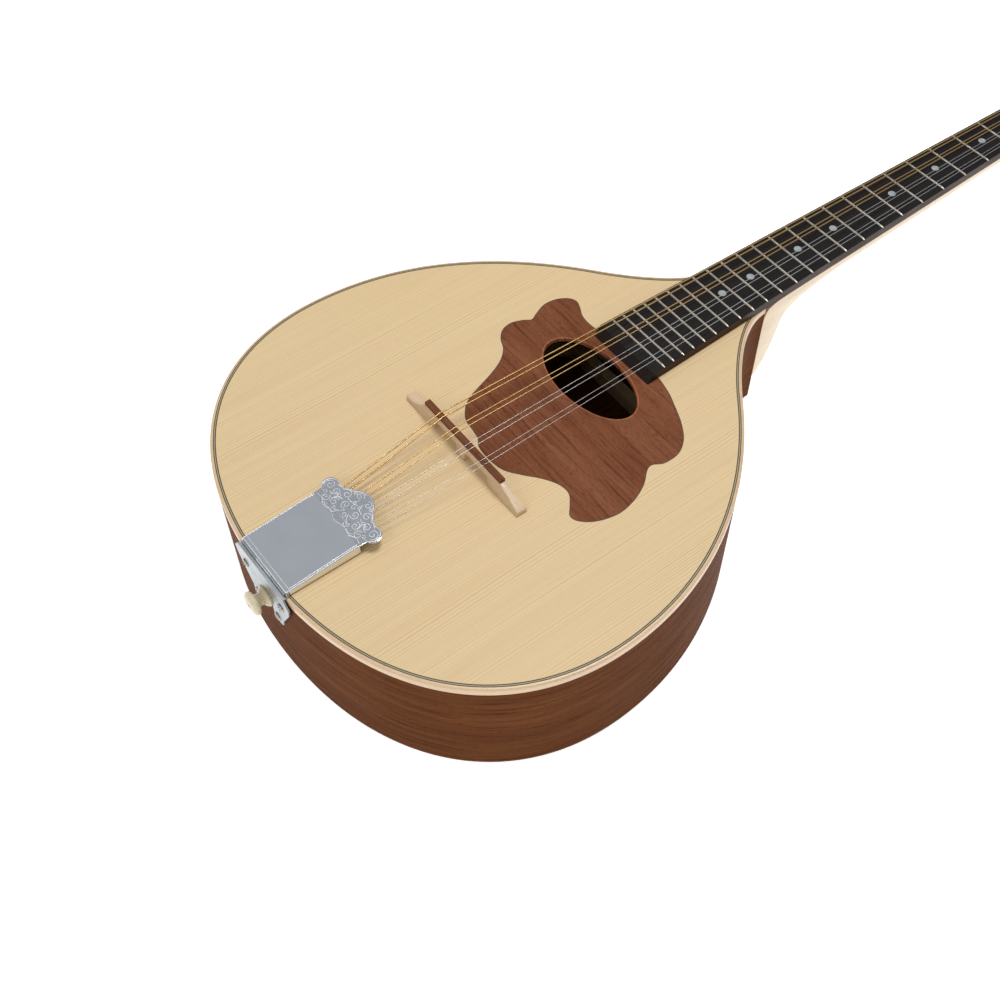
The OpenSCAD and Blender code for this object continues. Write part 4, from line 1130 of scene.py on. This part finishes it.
def buildFrets(f, n):
    row = bpy.data.objects.new("fretRow", bpy.data.meshes.new("fretRow"))
    scene.collection.objects.link(row)
    live = row.modifiers.new("frets", "NODES")
    live.node_group = growFretTree()
    feed(live, {"Count": f["count"], "String length": n["nut"] * mm, "Wide at": n["boardEnd"] * mm,
                "Wide half": n["boardWide"] / 2 * mm, "Narrow half": n["boardNarrow"] / 2 * mm,
                "Height": (deck + f["board"] + f["sink"]) * mm, "Crown": f["crown"] * mm,
                "Finish": fretMetal})
    row = settle(row)
    faceOutward(row.data)
    smoothPiece(row, 50)
    mount(row, "fret_wire", ["frets"])


buildFrets(frets, neck)
print("frets made")


# ---- strings ----
strings = {"radius": (0.55, 0.42, 0.25, 0.2), "bridgeX": (-25.1, -8.4, 8.4, 25.1), "pairBridge": 4.2,
           "saddleZ": 15.5, "nutX": (-12.9, -4.3, 4.3, 12.9), "pairNut": 2.6, "nutZ": 9.1, "pastNut": 1.4,
           "hookY": -118.0, "hookPitch": 5.4, "hookZ": 1.9, "hookRadius": 1.12, "windZ": 7.0,
           "postRadius": 3.0, "turns": 3, "turnPitch": 1.94}


def windings(s, k, r):
    # turns round the string's own post, working down it
    left = k < 4
    hand = -1 if left else 1
    row = neck["postY"][k if left else 7 - k]
    away, steps = s["postRadius"] + r + 0.12, 60
    run = []
    for t in (i / steps for i in range(steps + 1)):
        a = 2 * math.pi * s["turns"] * t
        local = Vector((hand * (neck["postX"] - away * math.cos(a)), row + away * math.sin(a),
                        s["windZ"] - s["turns"] * s["turnPitch"] * r * t))
        run.append(tuple(c / mm for c in onHead @ (local * mm)))
    return run


def stringRun(s, k):
    # from the loop on its hook, over the bridge and the nut, to its post
    pair, r = k // 2, s["radius"][k // 2]
    apart = k % 2 - 0.5
    hook = np.array([(k - 3.5) * s["hookPitch"], s["hookY"], deck + s["hookZ"]])
    loop = s["hookRadius"] + r
    around = np.radians(np.linspace(-250, 90, 26))
    run = [tuple(hook + (loop * math.cos(a), loop * math.sin(a), 0)) for a in around]
    start = np.array(run[-1])
    saddle = np.array([s["bridgeX"][pair] + apart * s["pairBridge"], bridge["y"], deck + s["saddleZ"] + r])
    nut = np.array([s["nutX"][pair] + apart * s["pairNut"], neck["nut"] + s["pastNut"], deck + s["nutZ"] + r])
    run += [tuple(start + (saddle - start) * t) for t in (0.25, 0.5, 0.75, 0.985)] + [tuple(saddle)]
    run += [tuple(saddle + (nut - saddle) * t) for t in (0.003, 0.25, 0.5, 0.75, 0.997)] + [tuple(nut)]
    run.append(tuple(nut + (0, 3.6, -0.25)))
    return run + windings(s, k, r)


for pair, (name, node, finish, slot) in enumerate((
        ("lowBassStrings", "strings_low_bass", bronzeLow, "wound_bronze"),
        ("highBassStrings", "strings_high_bass", bronzeHigh, "wound_bronze"),
        ("lowTrebleStrings", "strings_low_treble", steelPlain, "plain_steel"),
        ("highTrebleStrings", "strings_high_treble", steelPlain, "plain_steel"))):
    lines = [stringRun(strings, 2 * pair), stringRun(strings, 2 * pair + 1)]
    mount(wirePiece(name, lines, strings["radius"][pair], finish, 10), slot, [node])
print("strings made")


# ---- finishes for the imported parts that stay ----
kept = {
    "soundboard": spruceTop, "back_strip": spruceInsideShaded, "end_blocks": spruceInsideShaded, "linings": spruceInsideShaded,
    "top_braces": spruceInsideShaded, "back_braces": spruceInsideShaded, "bridge_saddle": walnutStrip,
    "tailpiece_base": nickelFlangeDimmed, "tailpiece_hinge_pin": steelPlain, "end_pin": creamPin,
    "headstock_face": blackBoard, "fingerboard": blackBoard, "position_dots": pearlDot, "nut": boneNut,
    "truss_rod": steelPlain, "truss_rod_nut": brassSoft, "truss_rod_cover": blackCover,
    "tuner_plates": nickelPlate, "post_bushings": fretMetal, "wood_screws": screwSteel,
}
for i in range(1, 9):
    kept["tuner_knob_%d" % i] = knobIvory
    kept["tuner_worm_%d" % i] = steelPlain
    kept["tuner_post_%d" % i] = brassSoft
for node, finish in kept.items():
    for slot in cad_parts[node].material_slots:
        slot.material = finish


# ---- floor ----
def buildFloor(s):
    b = Bench("paleFloor", rough=0.9, specular=0.1)
    grain = b.noise(b.place(), 3.0, 2.0)
    tone = b.tint(b.span(grain, 0.3, 0.7), s["floorColour"], toned(s["floorColour"], 0.99))
    b.surface.inputs["Emission Color"].default_value = (1, 1, 1, 1)
    b.surface.inputs["Emission Strength"].default_value = s["floorGlow"]
    far, low = s["floorHalf"], s["floorZ"]
    corners = [(-far, -far, low), (far, -far, low), (far, far, low), (-far, far, low)]
    newPiece("studioFloor", corners, [(0, 1, 2, 3)], b.done(tone))


buildFloor(studio)
buildStudio(studio)
